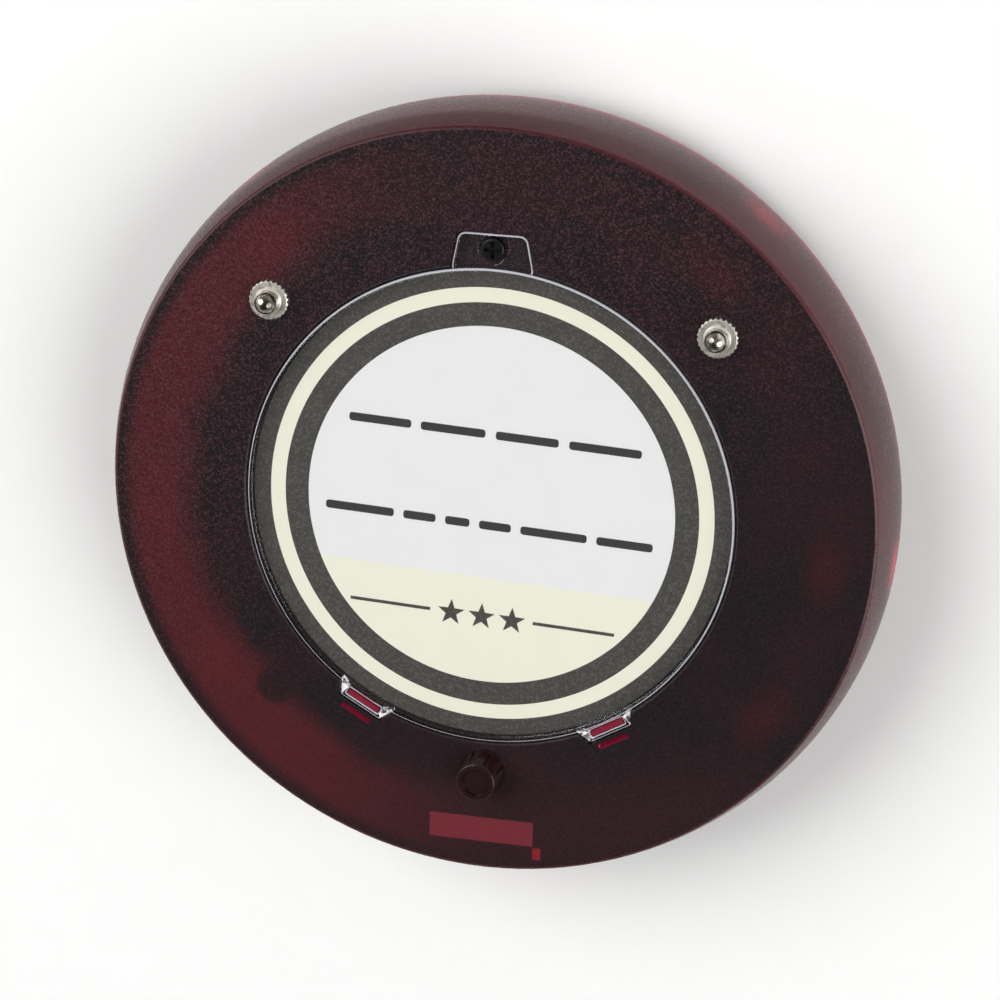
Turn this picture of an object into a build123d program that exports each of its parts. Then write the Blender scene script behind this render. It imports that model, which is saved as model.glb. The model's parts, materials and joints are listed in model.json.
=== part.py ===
from build123d import *
from math import cos, radians, sin, sqrt, tan
import os

# A stackable guest pager: a translucent disc-shaped case with a label under a clear cover on top,
# two charging studs and a locating post on the top face, and a two-digit display behind a glossy
# window in the side wall. Millimetres. +Z is up, the origin is the centre of the flat underside,
# -Y is the display side and +Y is the side of the cover's screw tab.

os.makedirs("parts", exist_ok=True)

# ---------------------------------------------------------------- building allowances
SUNK = 0.2  # how far a raised feature starts inside the body that it grows from
OVERRUN = 1.0  # how far a cut runs past the face that it opens
HAIR = 0.1  # the gap between two pieces that don't bear on each other

# ---------------------------------------------------------------- driving dimensions: case
CASE_RADIUS = 53.0  # at the widest point of the bulged side wall
TOP_RADIUS = 51.2  # at the edge of the top face
BASE_RADIUS = 50.7  # at the edge of the underside
LOWER_BULGE = 0.3
CASE_HEIGHT = 15.8
WIDEST_Z = 6.9
PARTING_Z = 4.4
PARTING_GAP = 0.1
RIM_STEP = 0.16  # the lower shell's rim stands this much inside the upper one
PLATE = 1.8  # thickness of the top and bottom plates
WALL_TOP = 2.0
LIP_RISE = 1.7
LIP_WALL = 1.0
LIP_GAP = HAIR
LIP_TAPER = 0.2
RIM_FILLET = 0.45
POCKET_CHAMFER = 0.2
FOOT_FILLET = 0.4
CORNER_CHAMFER = 1.0  # where the side wall meets the top plate, inside
INNER_RADIUS_TOP = TOP_RADIUS - WALL_TOP
INNER_RADIUS_LOW = 50.1
LIP_RADIUS = 50.8

FLOOR_Z = PLATE
CEILING_Z = CASE_HEIGHT - PLATE

# The side wall is one arc, upright at the widest point.
WALL_BULGE = CASE_RADIUS - TOP_RADIUS
WALL_ARC = ((CASE_HEIGHT - WIDEST_Z) ** 2 + WALL_BULGE**2) / (2 * WALL_BULGE)


def wall_radius(z):
    """Radius of the upper shell's outer surface at height z."""
    return CASE_RADIUS - WALL_ARC + sqrt(WALL_ARC**2 - (z - WIDEST_Z) ** 2)


# ---------------------------------------------------------------- label pocket, cover and clips
POCKET_RADIUS = 33.0
POCKET_DEPTH = 1.6
POCKET_FLOOR = CASE_HEIGHT - POCKET_DEPTH
POCKET_UNDER = POCKET_FLOOR - 1.4
POCKET_UNDER_RADIUS = 36.4

LABEL_RADIUS = 32.2
LABEL_THICK = 0.2
COVER_RADIUS = 32.7
COVER_PROUD = 0.15
COVER_UNDER = POCKET_FLOOR + LABEL_THICK + HAIR
COVER_BEVEL = 0.45

TAB_BASE_Y = 31.0
TAB_END_Y = 37.3
TAB_BASE_HALF = 5.6
TAB_END_HALF = 4.5
TAB_CORNER = 1.3
TAB_TOP = CASE_HEIGHT - 0.25
TAB_GAP = 0.25
TAB_FLOOR = (13.2, 7.0)
COVER_SCREW_Y = 35.2
COVER_BOSS_LOW = 9.0
COVER_PILOT_LOW = COVER_BOSS_LOW + 1.2
COVER_SCREW_TIP = COVER_PILOT_LOW + 0.4
COVER_HEAD_SEAT = CASE_HEIGHT - 1.0
COVER_HEAD_HEIGHT = 0.8
COVER_HEAD_GAP = 0.25
SCREW_CLEARANCE = 0.05

CLIP_ANGLES = (-120.0, -60.0)
CLIP_BASE_HALF = 4.45
CLIP_END_HALF = 3.05
CLIP_BASE_R = 31.5
CLIP_END_R = 34.5
CLIP_GAP = 0.15
CLIP_TOP = CASE_HEIGHT - 0.45
RIB_R = (33.1, 33.8)  # the upright rib that each of the cover's loops drops over
RIB_HALF = 2.4
RIB_GAP = 0.15
RIB_TOP = CASE_HEIGHT - 0.3
RELIEF_R = (35.05, 35.8)
RELIEF_HALF = 2.2

# ---------------------------------------------------------------- studs, sockets and locating post
STUD_X = 29.6
STUD_Y = 26.2
STUD_RADIUS = 1.5
STUD_RISE = 3.2  # above the top face, flange included
FLANGE_RADIUS = 2.65
FLANGE_THICK = 0.7
FLANGE_TEETH = 24
STUD_BODY_RADIUS = 1.9
STUD_TAIL_RADIUS = 1.0
SOCKET_RADIUS = 1.9

POST_Y = -37.1
POST_BASE_RADIUS = 2.95
POST_TOP_RADIUS = 2.6
POST_RISE = 4.1
POST_TIP_FILLET = 0.2
POST_COLLAR_RADIUS = 3.2
POST_COLLAR_RISE = 0.35
POST_GROOVES = 8
POST_GROOVE_RADIUS = 0.35
POST_DISH_RADIUS = 1.9
POST_DISH_DEPTH = 0.4
POST_SOCKET_RADIUS = 3.3
POST_SOCKET_DEPTH = 4.9
POST_SOCKET_WALL = 1.1

# ---------------------------------------------------------------- display window and module
WINDOW_HALF = 18.6
WINDOW_LOW = 2.4
WINDOW_HIGH = 15.3
WINDOW_EDGE = 0.5
WINDOW_THICK = 1.5
WINDOW_CORNER = 2.4
WINDOW_GAP = HAIR
WINDOW_INNER = TOP_RADIUS - WINDOW_THICK
WINDOW_BACK = INNER_RADIUS_TOP - 0.3  # the opening is cut from this radius outwards
WALL_START = 40.0  # window outlines are drawn on a plane this far out, and run this much further
WALL_REACH = 20.0

MODULE_HALF = 7.5
MODULE_LOW = 3.0
MODULE_HIGH = 13.0
MODULE_BACK_Y = -42.8
MODULE_FRONT_Y = -48.2
MASK_THICK = 0.7
DIGIT_HEIGHT = 7.1
DIGIT_WIDTH = 4.2
DIGIT_PITCH = 7.6
DIGIT_SLANT = 8.0
SEGMENT_THICK = 0.95
SEGMENT_GAP = 0.1
SEGMENT_PROUD = 0.12
LIT_SEGMENTS = "abged"  # the units digit shows 2, the tens digit is blank

# ---------------------------------------------------------------- electronics
BOARD_RADIUS = 42.0
BOARD_LOW = 7.2
BOARD_HIGH = 8.4
LED_ANGLES = (355, 50, 130, 185, 214, 326)
LED_RADIUS = 40.3

BATTERY = (40.0, 30.0, 4.0)
BATTERY_LOW = FLOOR_Z + 0.3

MOTOR_X = -32.0
MOTOR_Z = 5.3
MOTOR_RADIUS = 3.0
MOTOR_BACK_Y = -8.0
MOTOR_FRONT_Y = 4.0
SHAFT_RADIUS = 0.5
SHAFT_CLEARANCE = 0.05
SHAFT_END_Y = 9.2
WEIGHT_RADIUS = 2.9
WEIGHT_HUB = 1.1
WEIGHT_Y = (4.9, 8.7)

BUZZER_X = 31.0
BUZZER_Y = -4.0
BUZZER_RADIUS = 6.0
BUZZER_HEIGHT = 4.0
BUZZER_PORT = (1.0, 0.8)  # radius and depth
BUZZER_EDGE = 0.5
SOUND_HOLE_RADIUS = 0.6
SOUND_HOLE_RING = 2.4
SOUND_HOLES = 6

BARREL_RADIUS = 2.9
BARREL_BORE = 2.4
BARREL_LIP = 0.6
BARREL_CAP = 0.5
PLUNGER_RADIUS = 2.25
NOSE_RADIUS = 1.5
NOSE_LOW = 1.4
PLUNGER_LOW = 2.6
PLUNGER_HIGH = 4.0
SPRING_RADIUS = 1.6
SPRING_WIRE = 0.17
SPRING_TURNS = 3.5

# ---------------------------------------------------------------- fasteners
CASE_SCREWS = ((-29.0, -28.0), (29.0, -28.0), (-16.0, 41.5), (16.0, 41.5))
CASE_BOSS_RADIUS = 2.9
CASE_SCREW_RADIUS = 1.1
CASE_SCREW_SEAT = 2.6
CASE_SCREW_TIP = 11.6
CASE_HEAD_RADIUS = 2.1
CASE_HEAD_HEIGHT = 1.4
CASE_HEAD_BORE = 2.5
PILLAR_RADIUS = 3.4
PILLAR_TOP = 5.6

BOARD_SCREWS = ((-24.0, 17.0), (24.0, 17.0), (0.0, -26.0))
BOARD_BOSS_RADIUS = 2.2
BOARD_SCREW_RADIUS = 0.8
SMALL_HEAD_RADIUS = 1.55
SMALL_HEAD_HEIGHT = 1.1
BOARD_SCREW_LENGTH = 4.2
PILOT_SPARE = 0.3  # empty depth past a screw's tip
SCREW_HOLE_GAP = 0.2
RECESS_DEPTH = 0.6
RECESS_SPAN = 2.2
RECESS_SLOT = 0.5
HEAD_FILLET = 0.3


def clip_plane(angle, z):
    """A horizontal plane at height z whose local x axis points out along angle."""
    return Plane(origin=(0, 0, z), x_dir=(cos(radians(angle)), sin(radians(angle)), 0), z_dir=(0, 0, 1))


# ================================================================ window opening (a cutting tool)
# Rounded at its lower corners, and only as deep as the side wall.
with BuildPart() as window_tool:
    with BuildSketch(Plane.XZ.offset(WALL_START)) as window_outline:
        with Locations((0, (WINDOW_LOW + WINDOW_HIGH) / 2)):
            Rectangle(2 * (WINDOW_HALF + WINDOW_GAP), WINDOW_HIGH - WINDOW_LOW + 2 * WINDOW_GAP)
        fillet(window_outline.vertices().group_by(Axis.Z)[0], WINDOW_CORNER + WINDOW_GAP)
    extrude(amount=WALL_REACH)
    with BuildSketch(Plane.XY) as window_core:
        Circle(WINDOW_BACK)
    extrude(amount=CASE_HEIGHT, mode=Mode.SUBTRACT)

# ================================================================ top shell
with BuildPart() as top_shell:
    with BuildSketch(Plane.XZ):
        with BuildLine():
            Polyline(
                (0, POCKET_UNDER),
                (0, POCKET_FLOOR),
                (POCKET_RADIUS, POCKET_FLOOR),
                (POCKET_RADIUS, CASE_HEIGHT),
                (TOP_RADIUS, CASE_HEIGHT),
            )
            ThreePointArc(
                (TOP_RADIUS, CASE_HEIGHT),
                (wall_radius(CASE_HEIGHT * 0.6), CASE_HEIGHT * 0.6),
                (wall_radius(PARTING_Z), PARTING_Z),
            )
            Polyline(
                (wall_radius(PARTING_Z), PARTING_Z),
                (LIP_RADIUS + LIP_GAP, PARTING_Z),
                (LIP_RADIUS + LIP_GAP, PARTING_Z + LIP_RISE),
                (INNER_RADIUS_LOW, PARTING_Z + LIP_RISE),
                (INNER_RADIUS_TOP, CEILING_Z - CORNER_CHAMFER),
                (INNER_RADIUS_TOP - CORNER_CHAMFER, CEILING_Z),
                (POCKET_UNDER_RADIUS, CEILING_Z),
                (POCKET_UNDER_RADIUS, POCKET_UNDER),
                (0, POCKET_UNDER),
            )
        make_face()
    revolve(axis=Axis.Z)
    rim = top_shell.edges().filter_by(GeomType.CIRCLE).group_by(Axis.Z)[-1].sort_by(SortBy.RADIUS)
    fillet(rim[-1], RIM_FILLET)
    chamfer(rim[0], POCKET_CHAMFER)

    # bosses for the case screws, the cover's screw and the board's screws
    with BuildSketch(Plane.XY.offset(PILLAR_TOP + HAIR)):
        with Locations(*CASE_SCREWS):
            Circle(CASE_BOSS_RADIUS)
    extrude(until=Until.NEXT)
    with BuildSketch(Plane.XY.offset(BOARD_HIGH)):
        with Locations(*BOARD_SCREWS):
            Circle(BOARD_BOSS_RADIUS)
    extrude(amount=POCKET_UNDER - BOARD_HIGH + SUNK)
    with BuildSketch(Plane.XY.offset(COVER_BOSS_LOW)):
        with Locations((0, COVER_SCREW_Y)):
            Circle(CASE_BOSS_RADIUS)
    extrude(amount=POCKET_FLOOR - COVER_BOSS_LOW)
    with BuildSketch(Plane.XY.offset(POCKET_UNDER)):
        with Locations((0, COVER_SCREW_Y)):
            Rectangle(*TAB_FLOOR)
    extrude(amount=CEILING_Z - POCKET_UNDER)

    # recess for the screw tab
    with BuildSketch(Plane.XY.offset(POCKET_FLOOR)) as tab_recess:
        with BuildLine():
            Polyline(
                (-TAB_BASE_HALF - TAB_GAP, TAB_BASE_Y),
                (-TAB_END_HALF - TAB_GAP, TAB_END_Y + TAB_GAP),
                (TAB_END_HALF + TAB_GAP, TAB_END_Y + TAB_GAP),
                (TAB_BASE_HALF + TAB_GAP, TAB_BASE_Y),
                close=True,
            )
        make_face()
        fillet(tab_recess.vertices().group_by(Axis.Y)[-1], TAB_CORNER)
    extrude(amount=POCKET_DEPTH + OVERRUN, mode=Mode.SUBTRACT)

    # recesses for the cover's loops, an upright rib in each, and a narrow slot behind each
    for angle in CLIP_ANGLES:
        with BuildSketch(clip_plane(angle, POCKET_FLOOR)):
            with BuildLine():
                Polyline(
                    (CLIP_BASE_R, -CLIP_BASE_HALF - CLIP_GAP),
                    (CLIP_END_R + CLIP_GAP, -CLIP_END_HALF - CLIP_GAP),
                    (CLIP_END_R + CLIP_GAP, CLIP_END_HALF + CLIP_GAP),
                    (CLIP_BASE_R, CLIP_BASE_HALF + CLIP_GAP),
                    close=True,
                )
            make_face()
        extrude(amount=POCKET_DEPTH + OVERRUN, mode=Mode.SUBTRACT)
        with BuildSketch(clip_plane(angle, POCKET_FLOOR - SUNK)):
            with Locations((sum(RIB_R) / 2, 0)):
                Rectangle(RIB_R[1] - RIB_R[0], 2 * RIB_HALF)
        extrude(amount=RIB_TOP - POCKET_FLOOR + SUNK)
        with BuildSketch(clip_plane(angle, POCKET_UNDER - OVERRUN)):
            with Locations((sum(RELIEF_R) / 2, 0)):
                Rectangle(RELIEF_R[1] - RELIEF_R[0], 2 * RELIEF_HALF)
        extrude(amount=CASE_HEIGHT, mode=Mode.SUBTRACT)

    # the locating post: a grooved cone on a low collar, with a shallow dish in its tip
    with BuildSketch(Plane.XY.offset(CASE_HEIGHT - SUNK)):
        with Locations((0, POST_Y)):
            Circle(POST_BASE_RADIUS)
    with BuildSketch(Plane.XY.offset(CASE_HEIGHT + POST_RISE)):
        with Locations((0, POST_Y)):
            Circle(POST_TOP_RADIUS)
    loft()
    fillet(top_shell.edges().filter_by(GeomType.CIRCLE).group_by(Axis.Z)[-1], POST_TIP_FILLET)
    with BuildSketch(Plane.XY.offset(CASE_HEIGHT + POST_COLLAR_RISE)):
        with Locations((0, POST_Y)):
            with PolarLocations(POST_BASE_RADIUS, POST_GROOVES, start_angle=180 / POST_GROOVES):
                Circle(POST_GROOVE_RADIUS)
    extrude(amount=POST_RISE, mode=Mode.SUBTRACT)
    with BuildSketch(Plane.XY.offset(CASE_HEIGHT - SUNK)):
        with Locations((0, POST_Y)):
            Circle(POST_COLLAR_RADIUS)
    extrude(amount=POST_COLLAR_RISE + SUNK)
    with BuildSketch(Plane.XY.offset(CASE_HEIGHT + POST_RISE - POST_DISH_DEPTH)):
        with Locations((0, POST_Y)):
            Circle(POST_DISH_RADIUS)
    extrude(amount=2 * POST_DISH_DEPTH, mode=Mode.SUBTRACT)

    # through holes for the studs, and blind pilot holes for the screws
    with BuildSketch(Plane.XY.offset(CEILING_Z - OVERRUN)):
        with Locations((-STUD_X, STUD_Y), (STUD_X, STUD_Y)):
            Circle(STUD_BODY_RADIUS)
    extrude(amount=PLATE + 2 * OVERRUN, mode=Mode.SUBTRACT)
    with BuildSketch(Plane.XY.offset(PILLAR_TOP)):
        with Locations(*CASE_SCREWS):
            Circle(CASE_SCREW_RADIUS)
    extrude(amount=CASE_SCREW_TIP + PILOT_SPARE - PILLAR_TOP, mode=Mode.SUBTRACT)
    with BuildSketch(Plane.XY.offset(BOARD_HIGH)):
        with Locations(*BOARD_SCREWS):
            Circle(BOARD_SCREW_RADIUS)
    extrude(amount=BOARD_LOW + BOARD_SCREW_LENGTH + PILOT_SPARE - BOARD_HIGH, mode=Mode.SUBTRACT)
    with BuildSketch(Plane.XY.offset(COVER_PILOT_LOW)):
        with Locations((0, COVER_SCREW_Y)):
            Circle(BOARD_SCREW_RADIUS + SCREW_CLEARANCE)
    extrude(amount=CASE_HEIGHT, mode=Mode.SUBTRACT)
    add(window_tool.part, mode=Mode.SUBTRACT)
top_shell.part.label = "top_shell"
export_step(top_shell.part, "parts/top_shell.step")

# ================================================================ bottom shell
with BuildPart() as bottom_shell:
    rim_radius = wall_radius(PARTING_Z) - RIM_STEP
    rim_z = PARTING_Z - PARTING_GAP
    with BuildSketch(Plane.XZ):
        with BuildLine():
            Line((0, 0), (BASE_RADIUS, 0))
            ThreePointArc(
                (BASE_RADIUS, 0),
                ((BASE_RADIUS + rim_radius) / 2 + LOWER_BULGE, rim_z / 2),
                (rim_radius, rim_z),
            )
            Polyline(
                (rim_radius, rim_z),
                (LIP_RADIUS, rim_z),
                (LIP_RADIUS, PARTING_Z + LIP_RISE - LIP_GAP),
                (LIP_RADIUS - LIP_WALL, PARTING_Z + LIP_RISE - LIP_GAP),
                (LIP_RADIUS - LIP_WALL - LIP_TAPER, FLOOR_Z),
                (0, FLOOR_Z),
                (0, 0),
            )
        make_face()
    revolve(axis=Axis.Z)
    foot_edge = bottom_shell.edges().filter_by(GeomType.CIRCLE).group_by(Axis.Z)[0]
    fillet(foot_edge, FOOT_FILLET)

    # pillars for the case screws, and the closed tube that takes another pager's locating post
    with BuildSketch(Plane.XY.offset(FLOOR_Z)):
        with Locations(*CASE_SCREWS):
            Circle(PILLAR_RADIUS)
    extrude(amount=PILLAR_TOP - FLOOR_Z)
    with BuildSketch(Plane.XY.offset(FLOOR_Z)):
        with Locations((0, POST_Y)):
            Circle(POST_SOCKET_RADIUS + POST_SOCKET_WALL)
    extrude(amount=POST_SOCKET_DEPTH + POST_SOCKET_WALL - FLOOR_Z)
    with BuildSketch(Plane.XY):
        with Locations((0, POST_Y)):
            Circle(POST_SOCKET_RADIUS)
    extrude(amount=POST_SOCKET_DEPTH, mode=Mode.SUBTRACT)

    # screw holes with deep seats, and the sockets for another pager's studs
    with BuildSketch(Plane.XY):
        with Locations(*CASE_SCREWS):
            Circle(CASE_SCREW_RADIUS + SCREW_HOLE_GAP)
    extrude(amount=PILLAR_TOP + OVERRUN, mode=Mode.SUBTRACT)
    with BuildSketch(Plane.XY):
        with Locations(*CASE_SCREWS):
            Circle(CASE_HEAD_BORE)
    extrude(amount=CASE_SCREW_SEAT, mode=Mode.SUBTRACT)
    with BuildSketch(Plane.XY):
        with Locations((-STUD_X, STUD_Y), (STUD_X, STUD_Y)):
            Circle(SOCKET_RADIUS)
    extrude(amount=FLOOR_Z + OVERRUN, mode=Mode.SUBTRACT)

    # sound holes below the buzzer
    with BuildSketch(Plane.XY):
        with Locations((BUZZER_X, BUZZER_Y)):
            Circle(SOUND_HOLE_RADIUS)
            with PolarLocations(SOUND_HOLE_RING, SOUND_HOLES):
                Circle(SOUND_HOLE_RADIUS)
    extrude(amount=FLOOR_Z, mode=Mode.SUBTRACT)
    add(window_tool.part, mode=Mode.SUBTRACT)
bottom_shell.part.label = "bottom_shell"
export_step(bottom_shell.part, "parts/bottom_shell.step")

# ================================================================ display window
with BuildPart() as display_window:
    with BuildSketch(Plane.XZ.offset(WALL_START)) as lens_outline:
        with Locations((0, (WINDOW_LOW + WINDOW_HIGH) / 2)):
            Rectangle(2 * WINDOW_HALF, WINDOW_HIGH - WINDOW_LOW)
        fillet(lens_outline.vertices().group_by(Axis.Z)[0], WINDOW_CORNER)
    extrude(amount=WALL_REACH)
    with BuildSketch(Plane.XY) as lens_ring:
        Circle(TOP_RADIUS)
        Circle(WINDOW_INNER, mode=Mode.SUBTRACT)
    extrude(amount=CASE_HEIGHT, mode=Mode.INTERSECT)
    lens_face = display_window.faces().filter_by(GeomType.CYLINDER).sort_by(Axis.Y)[0]
    chamfer(lens_face.edges(), WINDOW_EDGE)
display_window.part.label = "display_window"
export_step(display_window.part, "parts/display_window.step")

# ================================================================ label and its clear cover
with BuildPart() as label_insert:
    with BuildSketch(Plane.XY.offset(POCKET_FLOOR)):
        Circle(LABEL_RADIUS)
    extrude(amount=LABEL_THICK)
label_insert.part.label = "label_insert"
export_step(label_insert.part, "parts/label_insert.step")

with BuildPart() as label_cover:
    with BuildSketch(Plane.XY.offset(COVER_UNDER)):
        Circle(COVER_RADIUS)
    extrude(amount=CASE_HEIGHT + COVER_PROUD - COVER_UNDER)
    chamfer(label_cover.edges().group_by(Axis.Z)[-1], COVER_BEVEL)
    with BuildSketch(Plane.XY.offset(POCKET_FLOOR)) as tab_outline:
        with BuildLine():
            Polyline(
                (-TAB_BASE_HALF, TAB_BASE_Y),
                (-TAB_END_HALF, TAB_END_Y),
                (TAB_END_HALF, TAB_END_Y),
                (TAB_BASE_HALF, TAB_BASE_Y),
                close=True,
            )
        make_face()
        fillet(tab_outline.vertices().group_by(Axis.Y)[-1], TAB_CORNER)
        Circle(LABEL_RADIUS + HAIR, mode=Mode.SUBTRACT)
    extrude(amount=TAB_TOP - POCKET_FLOOR)
    for angle in CLIP_ANGLES:
        with BuildSketch(clip_plane(angle, POCKET_FLOOR)):
            with BuildLine():
                Polyline(
                    (CLIP_BASE_R, -CLIP_BASE_HALF),
                    (CLIP_END_R, -CLIP_END_HALF),
                    (CLIP_END_R, CLIP_END_HALF),
                    (CLIP_BASE_R, CLIP_BASE_HALF),
                    close=True,
                )
            make_face()
            Circle(LABEL_RADIUS + HAIR, mode=Mode.SUBTRACT)
        extrude(amount=CLIP_TOP - POCKET_FLOOR)
        with BuildSketch(clip_plane(angle, POCKET_FLOOR - HAIR)):
            with Locations((sum(RIB_R) / 2, 0)):
                Rectangle(RIB_R[1] - RIB_R[0] + 2 * RIB_GAP, 2 * (RIB_HALF + RIB_GAP))
        extrude(amount=POCKET_DEPTH, mode=Mode.SUBTRACT)
    with BuildSketch(Plane.XY.offset(POCKET_FLOOR)):
        with Locations((0, COVER_SCREW_Y)):
            Circle(BOARD_SCREW_RADIUS + SCREW_HOLE_GAP)
    extrude(amount=POCKET_DEPTH + OVERRUN, mode=Mode.SUBTRACT)
    with BuildSketch(Plane.XY.offset(COVER_HEAD_SEAT)):
        with Locations((0, COVER_SCREW_Y)):
            Circle(SMALL_HEAD_RADIUS + COVER_HEAD_GAP)
    extrude(amount=COVER_HEAD_HEIGHT + OVERRUN, mode=Mode.SUBTRACT)
label_cover.part.label = "label_cover"
export_step(label_cover.part, "parts/label_cover.step")


# The cross-shaped driver recess of every screw.
with BuildSketch() as driver_cross:
    Rectangle(RECESS_SPAN, RECESS_SLOT)
    Rectangle(RECESS_SLOT, RECESS_SPAN)

# ================================================================ fasteners
with BuildPart() as cover_screw:
    with BuildSketch(Plane.XY.offset(COVER_SCREW_TIP)):
        with Locations((0, COVER_SCREW_Y)):
            Circle(BOARD_SCREW_RADIUS)
    extrude(amount=COVER_HEAD_SEAT - COVER_SCREW_TIP)
    with BuildSketch(Plane.XY.offset(COVER_HEAD_SEAT)):
        with Locations((0, COVER_SCREW_Y)):
            Circle(SMALL_HEAD_RADIUS)
    extrude(amount=COVER_HEAD_HEIGHT)
    fillet(cover_screw.edges().group_by(Axis.Z)[-1], HEAD_FILLET)
    with BuildSketch(Plane.XY.offset(COVER_HEAD_SEAT + COVER_HEAD_HEIGHT)):
        with Locations((0, COVER_SCREW_Y)):
            add(driver_cross.sketch)
    extrude(amount=-RECESS_DEPTH, mode=Mode.SUBTRACT)
cover_screw.part.label = "cover_screw"
export_step(cover_screw.part, "parts/cover_screw.step")

with BuildPart() as case_screws:
    with BuildSketch(Plane.XY.offset(CASE_SCREW_SEAT - CASE_HEAD_HEIGHT)):
        with Locations(*CASE_SCREWS):
            Circle(CASE_HEAD_RADIUS)
    extrude(amount=CASE_HEAD_HEIGHT)
    fillet(case_screws.edges().group_by(Axis.Z)[0], HEAD_FILLET)
    with BuildSketch(Plane.XY.offset(CASE_SCREW_SEAT)):
        with Locations(*CASE_SCREWS):
            Circle(CASE_SCREW_RADIUS)
    extrude(amount=CASE_SCREW_TIP - CASE_SCREW_SEAT)
    with BuildSketch(Plane.XY.offset(CASE_SCREW_SEAT - CASE_HEAD_HEIGHT)):
        with Locations(*CASE_SCREWS):
            add(driver_cross.sketch)
    extrude(amount=RECESS_DEPTH, mode=Mode.SUBTRACT)
case_screws.part.label = "case_screws"
export_step(case_screws.part, "parts/case_screws.step")

with BuildPart() as board_screws:
    with BuildSketch(Plane.XY.offset(BOARD_LOW - SMALL_HEAD_HEIGHT)):
        with Locations(*BOARD_SCREWS):
            Circle(SMALL_HEAD_RADIUS)
    extrude(amount=SMALL_HEAD_HEIGHT)
    fillet(board_screws.edges().group_by(Axis.Z)[0], HEAD_FILLET)
    with BuildSketch(Plane.XY.offset(BOARD_LOW)):
        with Locations(*BOARD_SCREWS):
            Circle(BOARD_SCREW_RADIUS)
    extrude(amount=BOARD_SCREW_LENGTH)
    with BuildSketch(Plane.XY.offset(BOARD_LOW - SMALL_HEAD_HEIGHT)):
        with Locations(*BOARD_SCREWS):
            add(driver_cross.sketch)
    extrude(amount=RECESS_DEPTH, mode=Mode.SUBTRACT)
board_screws.part.label = "board_screws"
export_step(board_screws.part, "parts/board_screws.step")

# ================================================================ charging studs and contacts
STUD_TOP = CASE_HEIGHT + STUD_RISE
FLANGE_TOP = CASE_HEIGHT + FLANGE_THICK
FLANGE_BEVEL = 0.2
STUD_FOOT = 0.3
STUD_SHOULDER = 0.8  # how far the thick part of the stud reaches below the top plate
KNURL_RING = FLANGE_RADIUS + 0.12
KNURL_RADIUS = 0.26
WASHER_RADIUS = 3.0
WASHER_THICK = 0.6
NOSE_CROWN = 0.4
NOSE_CURVE = 3.0

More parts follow.
